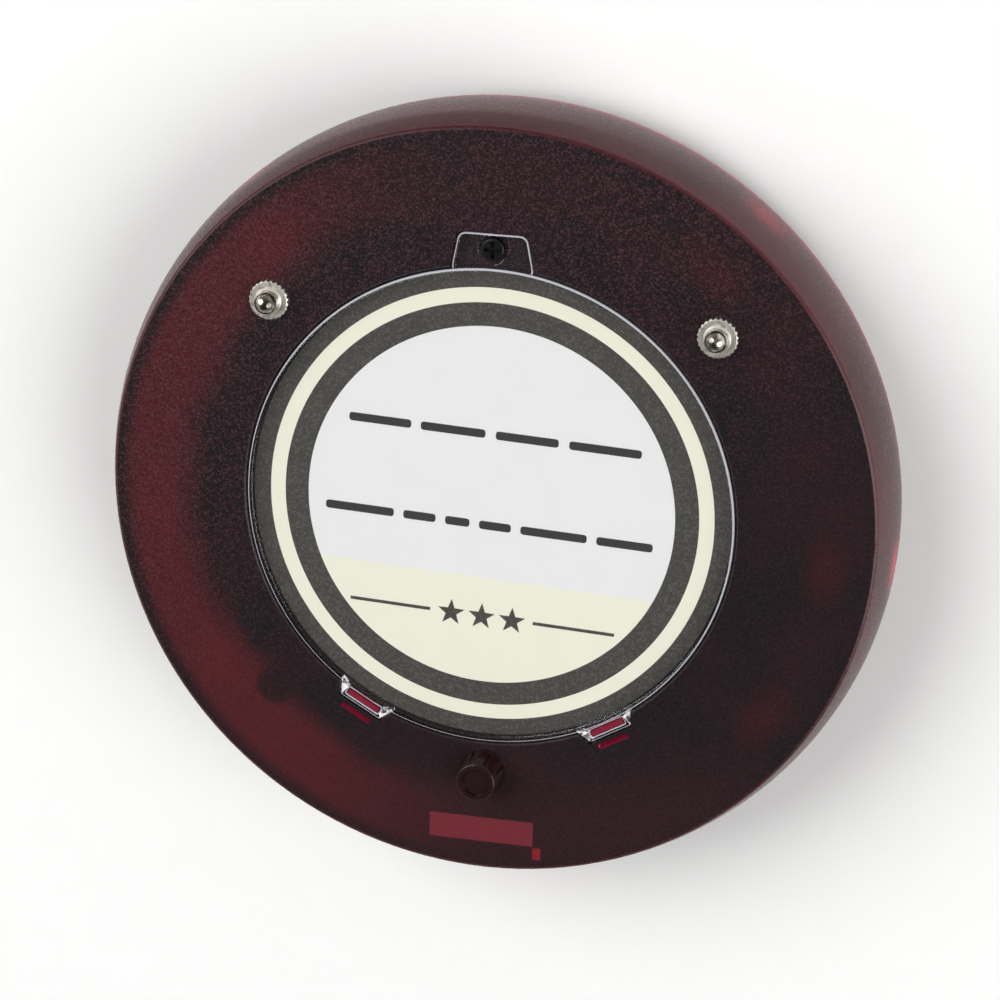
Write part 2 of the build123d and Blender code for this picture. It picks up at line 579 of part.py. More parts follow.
for side, stud_x in (("left", -STUD_X), ("right", STUD_X)):
    stud_plane = Plane(origin=(stud_x, STUD_Y, 0), x_dir=(1, 0, 0), z_dir=(0, -1, 0))
    stud_axis = Axis((stud_x, STUD_Y, 0), (0, 0, 1))

    with BuildPart() as stud:
        with BuildSketch(stud_plane):
            with BuildLine():
                RadiusArc((0, STUD_TOP), (STUD_RADIUS, STUD_TOP - STUD_RADIUS), STUD_RADIUS)
                Polyline(
                    (STUD_RADIUS, STUD_TOP - STUD_RADIUS),
                    (STUD_RADIUS, FLANGE_TOP + STUD_FOOT),
                    (STUD_RADIUS + STUD_FOOT, FLANGE_TOP),
                    (FLANGE_RADIUS - FLANGE_BEVEL, FLANGE_TOP),
                    (FLANGE_RADIUS, FLANGE_TOP - FLANGE_BEVEL),
                    (FLANGE_RADIUS, CASE_HEIGHT),
                    (STUD_BODY_RADIUS, CASE_HEIGHT),
                    (STUD_BODY_RADIUS, CEILING_Z - STUD_SHOULDER),
                    (STUD_TAIL_RADIUS, CEILING_Z - STUD_SHOULDER),
                    (STUD_TAIL_RADIUS, BOARD_LOW),
                    (0, BOARD_LOW),
                    (0, STUD_TOP),
                )
            make_face()
        revolve(axis=stud_axis)
        with BuildSketch(Plane.XY.offset(CASE_HEIGHT)):
            with Locations((stud_x, STUD_Y)):
                with PolarLocations(KNURL_RING, FLANGE_TEETH):
                    Circle(KNURL_RADIUS)
        extrude(amount=FLANGE_THICK, mode=Mode.SUBTRACT)
    stud.part.label = f"charging_stud_{side}"
    export_step(stud.part, f"parts/charging_stud_{side}.step")

    with BuildPart() as washer:
        with BuildSketch(Plane.XY.offset(CEILING_Z - WASHER_THICK)):
            with Locations((stud_x, STUD_Y)):
                Circle(WASHER_RADIUS)
                Circle(STUD_BODY_RADIUS, mode=Mode.SUBTRACT)
        extrude(amount=WASHER_THICK)
    washer.part.label = f"stud_washer_{side}"
    export_step(washer.part, f"parts/stud_washer_{side}.step")

    with BuildPart() as barrel:
        with BuildSketch(stud_plane):
            Polygon(
                (SOCKET_RADIUS, FLOOR_Z),
                (BARREL_RADIUS, FLOOR_Z),
                (BARREL_RADIUS, BOARD_LOW),
                (0, BOARD_LOW),
                (0, BOARD_LOW - BARREL_CAP),
                (BARREL_BORE, BOARD_LOW - BARREL_CAP),
                (BARREL_BORE, FLOOR_Z + BARREL_LIP),
                (SOCKET_RADIUS, FLOOR_Z + BARREL_LIP),
                align=None,
            )
        revolve(axis=stud_axis)
    barrel.part.label = f"contact_barrel_{side}"
    export_step(barrel.part, f"parts/contact_barrel_{side}.step")

    with BuildPart() as plunger:
        with BuildSketch(stud_plane):
            with BuildLine():
                RadiusArc((0, NOSE_LOW), (NOSE_RADIUS, NOSE_LOW + NOSE_CROWN), -NOSE_CURVE)
                Polyline(
                    (NOSE_RADIUS, NOSE_LOW + NOSE_CROWN),
                    (NOSE_RADIUS, PLUNGER_LOW),
                    (PLUNGER_RADIUS, PLUNGER_LOW),
                    (PLUNGER_RADIUS, PLUNGER_HIGH),
                    (0, PLUNGER_HIGH),
                    (0, NOSE_LOW),
                )
            make_face()
        revolve(axis=stud_axis)
    plunger.part.label = f"contact_plunger_{side}"
    export_step(plunger.part, f"parts/contact_plunger_{side}.step")

    spring_low = PLUNGER_HIGH + SPRING_WIRE
    spring_high = BOARD_LOW - BARREL_CAP - SPRING_WIRE
    with BuildPart() as contact_spring:
        with BuildLine() as coil:
            Helix(
                (spring_high - spring_low) / SPRING_TURNS,
                spring_high - spring_low,
                SPRING_RADIUS,
                center=(stud_x, STUD_Y, spring_low),
            )
        with BuildSketch(Plane(coil.line @ 0, z_dir=coil.line % 0)):
            Circle(SPRING_WIRE)
        sweep(path=coil.line, is_frenet=True)
    contact_spring.part.label = f"contact_spring_{side}"
    export_step(contact_spring.part, f"parts/contact_spring_{side}.step")

# ================================================================ main board
BOARD_CUTOUT_GAP = 0.6
BOARD_CUTOUT_CORNER = 1.0
MOTOR_CUTOUT = (2 * MOTOR_RADIUS + 1.4, SHAFT_END_Y - MOTOR_BACK_Y + 2)

with BuildPart() as main_board:
    with BuildSketch(Plane.XY.offset(BOARD_LOW)):
        Circle(BOARD_RADIUS)
        with Locations(*CASE_SCREWS):
            Circle(CASE_BOSS_RADIUS + BOARD_CUTOUT_GAP, mode=Mode.SUBTRACT)
        with Locations((MOTOR_X, (MOTOR_BACK_Y + SHAFT_END_Y) / 2)):
            RectangleRounded(*MOTOR_CUTOUT, BOARD_CUTOUT_CORNER, mode=Mode.SUBTRACT)
        with Locations(*BOARD_SCREWS):
            Circle(BOARD_SCREW_RADIUS + SCREW_HOLE_GAP, mode=Mode.SUBTRACT)
        with Locations((-STUD_X, STUD_Y), (STUD_X, STUD_Y)):
            Circle(STUD_TAIL_RADIUS + HAIR, mode=Mode.SUBTRACT)
    extrude(amount=BOARD_HIGH - BOARD_LOW)
main_board.part.label = "main_board"
export_step(main_board.part, "parts/main_board.step")

# ================================================================ display module
MODULE_MID = (MODULE_LOW + MODULE_HIGH) / 2
MODULE_PIN = 0.5  # side of a square pin
MODULE_PIN_PITCH = 2.54
MODULE_PINS = 5
MODULE_PIN_LENGTH = 2.6

with BuildPart() as display_module:
    with BuildSketch(Plane.XZ.offset(-MODULE_BACK_Y)):
        with Locations((0, MODULE_MID)):
            Rectangle(2 * MODULE_HALF, MODULE_HIGH - MODULE_LOW)
    extrude(amount=MODULE_BACK_Y - MODULE_FRONT_Y)
display_module.part.label = "display_module"
export_step(display_module.part, "parts/display_module.step")

with BuildPart() as display_mask:
    with BuildSketch(Plane.XZ.offset(-MODULE_FRONT_Y)):
        with Locations((0, MODULE_MID)):
            Rectangle(2 * MODULE_HALF, MODULE_HIGH - MODULE_LOW)
    extrude(amount=MASK_THICK)
display_mask.part.label = "display_mask"
export_step(display_mask.part, "parts/display_mask.step")

with BuildPart() as display_pins:
    with BuildSketch(Plane.XZ.offset(-MODULE_BACK_Y)):
        with Locations((0, BOARD_HIGH + MODULE_PIN / 2)):
            with GridLocations(MODULE_PIN_PITCH, MODULE_PIN_PITCH, MODULE_PINS, 1):
                Rectangle(MODULE_PIN, MODULE_PIN)
    extrude(amount=-MODULE_PIN_LENGTH)
display_pins.part.label = "display_pins"
export_step(display_pins.part, "parts/display_pins.step")

SEGMENT_PLACES = {  # centre as a share of the digit's half size, and whether the bar lies flat
    "a": (0, 1, True),
    "g": (0, 0, True),
    "d": (0, -1, True),
    "b": (1, 0.5, False),
    "c": (1, -0.5, False),
    "f": (-1, 0.5, False),
    "e": (-1, -0.5, False),
}


def segment_outline(name, digit_x):
    """Corners of one slanted bar of a seven-segment digit centred on digit_x."""
    across, up, flat = SEGMENT_PLACES[name]
    half_x = (DIGIT_WIDTH - SEGMENT_THICK) / 2
    half_z = (DIGIT_HEIGHT - SEGMENT_THICK) / 2
    centre_x, centre_z = across * half_x, up * half_z
    reach = (half_x if flat else half_z / 2) - SEGMENT_GAP
    bar, tip = SEGMENT_THICK / 2, reach - SEGMENT_THICK / 2
    corners = [(-reach, 0), (-tip, bar), (tip, bar), (reach, 0), (tip, -bar), (-tip, -bar)]
    placed = []
    for along, side in corners:
        x, z = (along, side) if flat else (side, along)
        lean = (centre_z + z) * tan(radians(DIGIT_SLANT))
        placed.append((digit_x + centre_x + x + lean, MODULE_MID + centre_z + z))
    return placed


tens = [(name, -DIGIT_PITCH / 2) for name in SEGMENT_PLACES]
units_unlit = [(name, DIGIT_PITCH / 2) for name in SEGMENT_PLACES if name not in LIT_SEGMENTS]
units_lit = [(name, DIGIT_PITCH / 2) for name in LIT_SEGMENTS]

for node, bars in (("digit_segments_lit", units_lit), ("digit_segments_unlit", tens + units_unlit)):
    with BuildPart() as segments:
        with BuildSketch(Plane.XZ.offset(-MODULE_FRONT_Y + MASK_THICK)):
            for bar_name, bar_x in bars:
                Polygon(*segment_outline(bar_name, bar_x), align=None)
        extrude(amount=SEGMENT_PROUD)
    segments.part.label = node
    export_step(segments.part, f"parts/{node}.step")

# ================================================================ lights on the board's edge
LED = (2.2, 3.2, 1.3)

with BuildPart() as side_leds:
    for angle in LED_ANGLES:
        with BuildSketch(clip_plane(angle, BOARD_HIGH)):
            with Locations((LED_RADIUS, 0)):
                Rectangle(LED[0], LED[1])
        extrude(amount=LED[2])
side_leds.part.label = "side_leds"
export_step(side_leds.part, "parts/side_leds.step")

# ================================================================ battery with its pad, plug and leads
BATTERY_CORNER = 1.5
BATTERY_EDGE = 0.8
PAD_INSET = 3.0
PLUG_X, PLUG_Y = 23.2, -16.2
PLUG = (5.0, 4.8, 3.4)
PLUG_CHAMFER = 0.3
LEAD_RADIUS = 0.45
LEAD_BEND = 1.0
LEAD_RUN_IN = 3.0  # straight run into the plug
LEAD_Z = BOARD_LOW - PLUG[2] / 2

with BuildPart() as battery:
    with BuildSketch(Plane.XY.offset(BATTERY_LOW)):
        RectangleRounded(BATTERY[0], BATTERY[1], BATTERY_CORNER)
    extrude(amount=BATTERY[2])
    fillet(battery.edges().filter_by(Plane.XY), BATTERY_EDGE)
battery.part.label = "battery"
export_step(battery.part, "parts/battery.step")

with BuildPart() as battery_pad:
    with BuildSketch(Plane.XY.offset(FLOOR_Z)):
        RectangleRounded(BATTERY[0] - 2 * PAD_INSET, BATTERY[1] - 2 * PAD_INSET, BATTERY_CORNER)
    extrude(amount=BATTERY_LOW - FLOOR_Z)
battery_pad.part.label = "battery_pad"
export_step(battery_pad.part, "parts/battery_pad.step")

with BuildPart() as battery_connector:
    with BuildSketch(Plane.XY.offset(BOARD_LOW - PLUG[2])):
        with Locations((PLUG_X, PLUG_Y)):
            Rectangle(PLUG[0], PLUG[1])
    extrude(amount=PLUG[2])
    chamfer(battery_connector.edges().group_by(Axis.Z)[0], PLUG_CHAMFER)
battery_connector.part.label = "battery_connector"
export_step(battery_connector.part, "parts/battery_connector.step")

for colour, lead_x, lead_y in (("red", 22.4, -3.0), ("black", 24.0, -1.0)):
    with BuildPart() as lead:
        with BuildLine() as lead_route:
            FilletPolyline(
                (BATTERY[0] / 2, lead_y, BATTERY_LOW + BATTERY[2] / 2),
                (lead_x, lead_y, BATTERY_LOW + BATTERY[2] / 2),
                (lead_x, PLUG_Y + PLUG[1] / 2 + LEAD_RUN_IN, LEAD_Z),
                (lead_x, PLUG_Y + PLUG[1] / 2, LEAD_Z),
                radius=LEAD_BEND,
            )
        with BuildSketch(Plane(lead_route.line @ 0, z_dir=lead_route.line % 0)):
            Circle(LEAD_RADIUS)
        sweep(path=lead_route.line)
    lead.part.label = f"battery_lead_{colour}"
    export_step(lead.part, f"parts/battery_lead_{colour}.step")

# ================================================================ buzzer
with BuildPart() as buzzer:
    with BuildSketch(Plane.XY.offset(BOARD_LOW - BUZZER_HEIGHT)):
        with Locations((BUZZER_X, BUZZER_Y)):
            Circle(BUZZER_RADIUS)
    extrude(amount=BUZZER_HEIGHT)
    fillet(buzzer.edges().group_by(Axis.Z)[0], BUZZER_EDGE)
    with BuildSketch(Plane.XY.offset(BOARD_LOW - BUZZER_HEIGHT)):
        with Locations((BUZZER_X, BUZZER_Y)):
            Circle(BUZZER_PORT[0])
    extrude(amount=BUZZER_PORT[1], mode=Mode.SUBTRACT)
buzzer.part.label = "buzzer"
export_step(buzzer.part, "parts/buzzer.step")

# ================================================================ vibration motor
MOTOR_PLANE = Plane(origin=(MOTOR_X, MOTOR_BACK_Y, MOTOR_Z), x_dir=(1, 0, 0), z_dir=(0, 1, 0))
BEARING_DEPTH = 2.0
CAN_CHAMFER = 0.3
BOOT_START = 2.0  # from the back of the can
BOOT_LENGTH = 8.0
BOOT_WALL = 0.6
BOOT_TOP = 6.2
MOTOR_LEAD_RADIUS = 0.4
MOTOR_LEAD_SPREAD = 0.9
MOTOR_LEAD_RUN = 3.0

with BuildPart() as motor_can:
    with BuildSketch(MOTOR_PLANE):
        Circle(MOTOR_RADIUS)
    extrude(amount=MOTOR_FRONT_Y - MOTOR_BACK_Y)
    chamfer(motor_can.edges().filter_by(GeomType.CIRCLE), CAN_CHAMFER)
    with BuildSketch(MOTOR_PLANE.offset(MOTOR_FRONT_Y - MOTOR_BACK_Y - BEARING_DEPTH)):
        Circle(SHAFT_RADIUS + SHAFT_CLEARANCE)
    extrude(amount=BEARING_DEPTH + OVERRUN, mode=Mode.SUBTRACT)
motor_can.part.label = "motor_can"
export_step(motor_can.part, "parts/motor_can.step")

with BuildPart() as motor_shaft:
    with BuildSketch(MOTOR_PLANE.offset(MOTOR_FRONT_Y - MOTOR_BACK_Y - BEARING_DEPTH + HAIR)):
        Circle(SHAFT_RADIUS)
    extrude(amount=SHAFT_END_Y - MOTOR_FRONT_Y + BEARING_DEPTH - HAIR)
motor_shaft.part.label = "motor_shaft"
export_step(motor_shaft.part, "parts/motor_shaft.step")

# Half a disc on a hub, heavy side down at rest.
with BuildPart() as motor_weight:
    with BuildSketch(MOTOR_PLANE.offset(WEIGHT_Y[0] - MOTOR_BACK_Y)) as weight_outline:
        Circle(WEIGHT_RADIUS)
        with Locations((0, -WEIGHT_RADIUS)):
            Rectangle(3 * WEIGHT_RADIUS, 2 * WEIGHT_RADIUS, mode=Mode.SUBTRACT)
        Circle(WEIGHT_HUB)
        Circle(SHAFT_RADIUS, mode=Mode.SUBTRACT)
    extrude(amount=WEIGHT_Y[1] - WEIGHT_Y[0])
motor_weight.part.label = "motor_weight"
export_step(motor_weight.part, "parts/motor_weight.step")

with BuildPart() as motor_boot:
    with BuildSketch(MOTOR_PLANE.offset(BOOT_START)):
        with Locations((0, MOTOR_Z - (FLOOR_Z + BOOT_TOP) / 2)):
            Rectangle(2 * (MOTOR_RADIUS + BOOT_WALL), BOOT_TOP - FLOOR_Z)
        Circle(MOTOR_RADIUS, mode=Mode.SUBTRACT)
    extrude(amount=BOOT_LENGTH)
motor_boot.part.label = "motor_boot"
export_step(motor_boot.part, "parts/motor_boot.step")

with BuildPart() as motor_leads:
    for lead_x in (MOTOR_X - MOTOR_LEAD_SPREAD, MOTOR_X + MOTOR_LEAD_SPREAD):
        with BuildLine() as motor_route:
            FilletPolyline(
                (lead_x, MOTOR_BACK_Y, MOTOR_Z),
                (lead_x, MOTOR_BACK_Y - MOTOR_LEAD_RUN, MOTOR_Z),
                (lead_x, MOTOR_BACK_Y - MOTOR_LEAD_RUN, BOARD_LOW),
                radius=LEAD_BEND,
            )
        with BuildSketch(Plane(motor_route.line @ 0, z_dir=motor_route.line % 0)):
            Circle(MOTOR_LEAD_RADIUS)
        sweep(path=motor_route.line)
motor_leads.part.label = "motor_leads"
export_step(motor_leads.part, "parts/motor_leads.step")

# ================================================================ parts on the board's upper side
MCU_X, MCU_Y = 11.0, -11.0
MCU = (10.0, 10.0, 1.4)
MCU_LEAD = (1.2, 0.4, 0.5)
MCU_LEAD_PITCH = 1.0
MCU_LEADS = 8  # on each side
CHIP_CHAMFER = 0.25
RADIO_X, RADIO_Y = -12.0, -9.0
RADIO = (14.0, 18.0, 0.8)
SHIELD_Y = RADIO_Y - 2.0
SHIELD = (11.0, 11.0, 1.9)
SHIELD_CORNER = 0.6
SHIELD_EDGE = 0.3
CRYSTAL_X, CRYSTAL_Y = 11.0, 3.0
CRYSTAL = (11.0, 4.6, 3.2)
CRYSTAL_EDGE = 0.5
CHARGER_Y = 28.0
CHARGER = (4.9, 3.9, 1.5)
CAPACITOR = (2.0, 1.25, 1.2)
CAPACITOR_BANK_Y = 14.0
CAPACITOR_BANK = (4.5, 4.0, 6, 2)  # pitch across and along, then the counts
LONE_CAPACITORS = ((-38.0, 3.0), (-38.0, 8.0), (37.5, 6.0), (8.0, 34.0), (-8.0, 34.0))
RESISTOR = (0.8, 1.6, 0.55)
RESISTOR_BANK_AT = (24.0, -14.0)
RESISTOR_BANK = (2.6, 3.2, 3, 4)
LED_RESISTOR_R = 37.2  # one resistor inside each light

with BuildPart() as mcu_chip:
    with BuildSketch(Plane.XY.offset(BOARD_HIGH + HAIR)):
        with Locations((MCU_X, MCU_Y)):
            Rectangle(MCU[0], MCU[1])
    extrude(amount=MCU[2])
    chamfer(mcu_chip.edges().group_by(Axis.Z)[-1], CHIP_CHAMFER)
mcu_chip.part.label = "mcu_chip"
export_step(mcu_chip.part, "parts/mcu_chip.step")

with BuildPart() as mcu_leads:
    with BuildSketch(Plane.XY.offset(BOARD_HIGH)):
        with Locations((MCU_X, MCU_Y)):
            with GridLocations(MCU[0] + MCU_LEAD[0], MCU_LEAD_PITCH, 2, MCU_LEADS):
                Rectangle(MCU_LEAD[0], MCU_LEAD[1])
            with GridLocations(MCU_LEAD_PITCH, MCU[1] + MCU_LEAD[0], MCU_LEADS, 2):
                Rectangle(MCU_LEAD[1], MCU_LEAD[0])
    extrude(amount=MCU_LEAD[2])
mcu_leads.part.label = "mcu_leads"
export_step(mcu_leads.part, "parts/mcu_leads.step")

with BuildPart() as radio_board:
    with BuildSketch(Plane.XY.offset(BOARD_HIGH)):
        with Locations((RADIO_X, RADIO_Y)):
            Rectangle(RADIO[0], RADIO[1])
    extrude(amount=RADIO[2])
radio_board.part.label = "radio_board"
export_step(radio_board.part, "parts/radio_board.step")

with BuildPart() as radio_shield:
    with BuildSketch(Plane.XY.offset(BOARD_HIGH + RADIO[2])):
        with Locations((RADIO_X, SHIELD_Y)):
            RectangleRounded(SHIELD[0], SHIELD[1], SHIELD_CORNER)
    extrude(amount=SHIELD[2])
    fillet(radio_shield.edges().group_by(Axis.Z)[-1], SHIELD_EDGE)
radio_shield.part.label = "radio_shield"
export_step(radio_shield.part, "parts/radio_shield.step")

with BuildPart() as crystal:
    with BuildSketch(Plane.XY.offset(BOARD_HIGH)):
        with Locations((CRYSTAL_X, CRYSTAL_Y)):
            SlotOverall(CRYSTAL[0], CRYSTAL[1])
    extrude(amount=CRYSTAL[2])
    fillet(crystal.edges().group_by(Axis.Z)[-1], CRYSTAL_EDGE)
crystal.part.label = "crystal"
export_step(crystal.part, "parts/crystal.step")

with BuildPart() as charger_chip:
    with BuildSketch(Plane.XY.offset(BOARD_HIGH)):
        with Locations((0, CHARGER_Y)):
            Rectangle(CHARGER[0], CHARGER[1])
    extrude(amount=CHARGER[2])
    chamfer(charger_chip.edges().group_by(Axis.Z)[-1], CHIP_CHAMFER)
charger_chip.part.label = "charger_chip"
export_step(charger_chip.part, "parts/charger_chip.step")

with BuildPart() as chip_capacitors:
    with BuildSketch(Plane.XY.offset(BOARD_HIGH)):
        with Locations((0, CAPACITOR_BANK_Y)):
            with GridLocations(*CAPACITOR_BANK):
                Rectangle(CAPACITOR[0], CAPACITOR[1])
        with Locations(*LONE_CAPACITORS):
            Rectangle(CAPACITOR[1], CAPACITOR[0])
    extrude(amount=CAPACITOR[2])
chip_capacitors.part.label = "chip_capacitors"
export_step(chip_capacitors.part, "parts/chip_capacitors.step")

with BuildPart() as chip_resistors:
    with BuildSketch(Plane.XY.offset(BOARD_HIGH)):
        with Locations(RESISTOR_BANK_AT):
            with GridLocations(*RESISTOR_BANK):
                Rectangle(RESISTOR[0], RESISTOR[1])
        for angle in LED_ANGLES:
            turn = radians(angle)
            with Locations((LED_RESISTOR_R * cos(turn), LED_RESISTOR_R * sin(turn))):
                Rectangle(RESISTOR[0], RESISTOR[1])
    extrude(amount=RESISTOR[2])
chip_resistors.part.label = "chip_resistors"
export_step(chip_resistors.part, "parts/chip_resistors.step")

# Helical antenna lying along X on the upper side of the board.
ANTENNA_RADIUS = 1.6
ANTENNA_WIRE = 0.3
ANTENNA_Z = BOARD_HIGH + ANTENNA_RADIUS + ANTENNA_WIRE + HAIR
ANTENNA_TURNS = 9
ANTENNA_LENGTH = 14.0
ANTENNA_X, ANTENNA_Y = -19.0, 27.0
with BuildPart() as antenna_coil:
    with BuildLine() as turns:
        Helix(
            ANTENNA_LENGTH / ANTENNA_TURNS,
            ANTENNA_LENGTH,
            ANTENNA_RADIUS,
            center=(ANTENNA_X, ANTENNA_Y, ANTENNA_Z),
            direction=(1, 0, 0),
        )
    with BuildSketch(Plane(turns.line @ 0, z_dir=turns.line % 0)):
        Circle(ANTENNA_WIRE)
    sweep(path=turns.line, is_frenet=True)
antenna_coil.part.label = "antenna_coil"
export_step(antenna_coil.part, "parts/antenna_coil.step")
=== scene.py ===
import json
from math import cos, pi, radians, sin, tau

import bmesh
import bpy
from mathutils import Matrix, Vector


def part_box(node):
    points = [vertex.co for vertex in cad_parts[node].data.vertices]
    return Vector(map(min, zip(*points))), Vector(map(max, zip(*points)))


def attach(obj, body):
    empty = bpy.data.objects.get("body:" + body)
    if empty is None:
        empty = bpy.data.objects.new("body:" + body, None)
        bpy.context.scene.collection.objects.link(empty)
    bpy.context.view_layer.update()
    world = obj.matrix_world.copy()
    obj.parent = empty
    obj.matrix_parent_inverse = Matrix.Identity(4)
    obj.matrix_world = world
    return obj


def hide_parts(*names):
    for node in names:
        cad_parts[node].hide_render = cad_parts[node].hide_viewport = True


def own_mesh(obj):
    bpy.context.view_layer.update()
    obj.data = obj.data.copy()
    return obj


# The guest pager's looks. Metres, in the CAD frame: +Z up out of the label face, +Y towards the cover's
# screw tab, -Y towards the display window.
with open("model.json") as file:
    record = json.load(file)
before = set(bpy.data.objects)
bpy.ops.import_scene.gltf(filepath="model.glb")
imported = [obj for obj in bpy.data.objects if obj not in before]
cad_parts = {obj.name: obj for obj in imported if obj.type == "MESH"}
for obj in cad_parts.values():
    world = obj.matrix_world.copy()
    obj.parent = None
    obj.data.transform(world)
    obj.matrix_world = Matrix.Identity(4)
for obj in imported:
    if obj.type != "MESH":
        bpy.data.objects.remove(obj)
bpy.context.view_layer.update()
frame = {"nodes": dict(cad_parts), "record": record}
MM = 0.001

# ---------------------------------------------------------------- places read from the frame
STUD_RISE = 3.2 * MM  # of a charging stud above the face
FLANGE_RISE = 0.75 * MM
FACE_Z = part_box("charging_stud_left")[1][2] - STUD_RISE
BOARD_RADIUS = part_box("main_board")[1][0]
COVER_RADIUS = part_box("label_cover")[1][0]
MODULE_LOW, MODULE_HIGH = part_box("display_module")
SCREWS_LOW, SCREWS_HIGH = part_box("case_screws")
WINDOW_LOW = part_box("display_window")[0]
LABEL_LOW, LABEL_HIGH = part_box("label_insert")


# ---------------------------------------------------------------- camera
def add_camera():
    """A long lens at the photograph's viewing angle: above the tab's side, turned so that the tab is up."""
    distance = 0.472
    focal_length = 128
    azimuth, elevation = radians(57.6), radians(66.8)
    roll_up = Vector((-0.0748, 0.9684, -0.238))
    away = Vector((cos(azimuth) * cos(elevation), sin(azimuth) * cos(elevation), sin(elevation)))
    target = Vector((0.0, -0.001, 0.0085))
    right = (-away).cross(roll_up).normalized()
    up = right.cross(-away).normalized()
    data = bpy.data.cameras.new("camera")
    data.lens = focal_length
    data.clip_start = 0.01
    camera = bpy.data.objects.new("camera", data)
    turn = Matrix((right, up, away)).transposed().to_4x4()
    camera.matrix_world = Matrix.Translation(target + away * distance) @ turn
    bpy.context.scene.collection.objects.link(camera)
    bpy.context.scene.camera = camera


# ---------------------------------------------------------------- shader helpers
class Shader:
    """One material and short ways to add nodes to it."""

    def __init__(self, name):
        self.material = bpy.data.materials.new(name)
        self.material.use_nodes = True
        self.tree = self.material.node_tree
        self.main = self.tree.nodes["Principled BSDF"]
        self.output = self.tree.nodes["Material Output"]
        self.place = self.tree.nodes.new("ShaderNodeTexCoord").outputs["Object"]

    def link(self, source, target):
        """Connect a socket, or set a plain value."""
        if hasattr(source, "is_linked"):
            self.tree.links.new(source, target)
        else:
            target.default_value = source

    def maths(self, operation, *values):
        node = self.tree.nodes.new("ShaderNodeMath")
        node.operation = operation
        for socket, value in zip(node.inputs, values):
            self.link(value, socket)
        return node.outputs[0]

    def product(self, *values):
        out = values[0]
        for value in values[1:]:
            out = self.maths("MULTIPLY", out, value)
        return out

    def step(self, value, low, high, out_low=0.0, out_high=1.0):
        """A smooth step of value from low to high, which may run downwards."""
        node = self.tree.nodes.new("ShaderNodeMapRange")
        node.interpolation_type = "SMOOTHSTEP"
        self.link(value, node.inputs["Value"])
        if low > high:
            low, high, out_low, out_high = high, low, out_high, out_low
        node.inputs["From Min"].default_value = low
        node.inputs["From Max"].default_value = high
        node.inputs["To Min"].default_value = out_low
        node.inputs["To Max"].default_value = out_high
        return node.outputs[0]

    def band(self, value, low, high, soft):
        """1 between low and high, 0 outside, with soft edges."""
        above = self.step(value, low - soft, low + soft)
        return self.product(above, self.step(value, high + soft, high - soft))

    def mix(self, factor, first, second):
        node = self.tree.nodes.new("ShaderNodeMix")
        node.data_type = "RGBA"
        self.link(factor, node.inputs["Factor"])
        self.link(first, node.inputs[6])
        self.link(second, node.inputs[7])
        return node.outputs[2]

    def noise(self, size, detail=2.0, stretch=None):
        """Noise between 0 and 1 with features about size metres across."""
        place = self.place
        if stretch:
            node = self.tree.nodes.new("ShaderNodeVectorMath")
            node.operation = "MULTIPLY"
            self.link(place, node.inputs[0])
            node.inputs[1].default_value = stretch
            place = node.outputs[0]
        node = self.tree.nodes.new("ShaderNodeTexNoise")
        node.inputs["Scale"].default_value = 1.0 / size
        node.inputs["Detail"].default_value = detail
        self.link(place, node.inputs["Vector"])
        return node.outputs["Fac"]

    def cells(self, size):
        """A random value between 0 and 1 for each small cell of the surface."""
        node = self.tree.nodes.new("ShaderNodeTexVoronoi")
        node.inputs["Scale"].default_value = 1.0 / size
        self.link(self.place, node.inputs["Vector"])
        split = self.tree.nodes.new("ShaderNodeSeparateColor")
        self.link(node.outputs["Color"], split.inputs[0])
        return split.outputs[0]

    def axes(self):
        """The X, Y and Z sockets of the place on the object, in metres."""
        node = self.tree.nodes.new("ShaderNodeSeparateXYZ")
        self.link(self.place, node.inputs[0])
        return node.outputs

    def turned(self, x, y, angle):
        """How far out along the direction at angle degrees, and how far across it."""
        turn = radians(angle)
        out = self.maths("ADD", self.product(x, cos(turn)), self.product(y, sin(turn)))
        across = self.maths("SUBTRACT", self.product(y, cos(turn)), self.product(x, sin(turn)))
        return out, across

    def length(self, *parts):
        """Length of the vector with these parts."""
        total = self.product(parts[0], parts[0])
        for part in parts[1:]:
            total = self.maths("ADD", total, self.product(part, part))
        return self.maths("SQRT", total)

    def bump(self, height, depth):
        node = self.tree.nodes.new("ShaderNodeBump")
        node.inputs["Strength"].default_value = 1.0
        node.inputs["Distance"].default_value = depth
        self.link(height, node.inputs["Height"])
        self.link(node.outputs[0], self.main.inputs["Normal"])
        return node

    def show_through(self, factor, tint=(1, 1, 1, 1)):
        """Let what lies behind show in the colour tint, where factor is below 1."""
        clear = self.tree.nodes.new("ShaderNodeBsdfTransparent")
        clear.inputs["Color"].default_value = tint
        blend = self.tree.nodes.new("ShaderNodeMixShader")
        self.link(factor, blend.inputs[0])
        self.link(clear.outputs[0], blend.inputs[1])
        self.link(self.main.outputs[0], blend.inputs[2])
        self.link(blend.outputs[0], self.output.inputs["Surface"])


def srgb(red, green, blue):
    """Linear colour of an sRGB triple in 0 to 255."""
    out = []
    for value in (red, green, blue):
        value /= 255.0
        out.append(value / 12.92 if value <= 0.04045 else ((value + 0.055) / 1.055) ** 2.4)
    return (*out, 1.0)


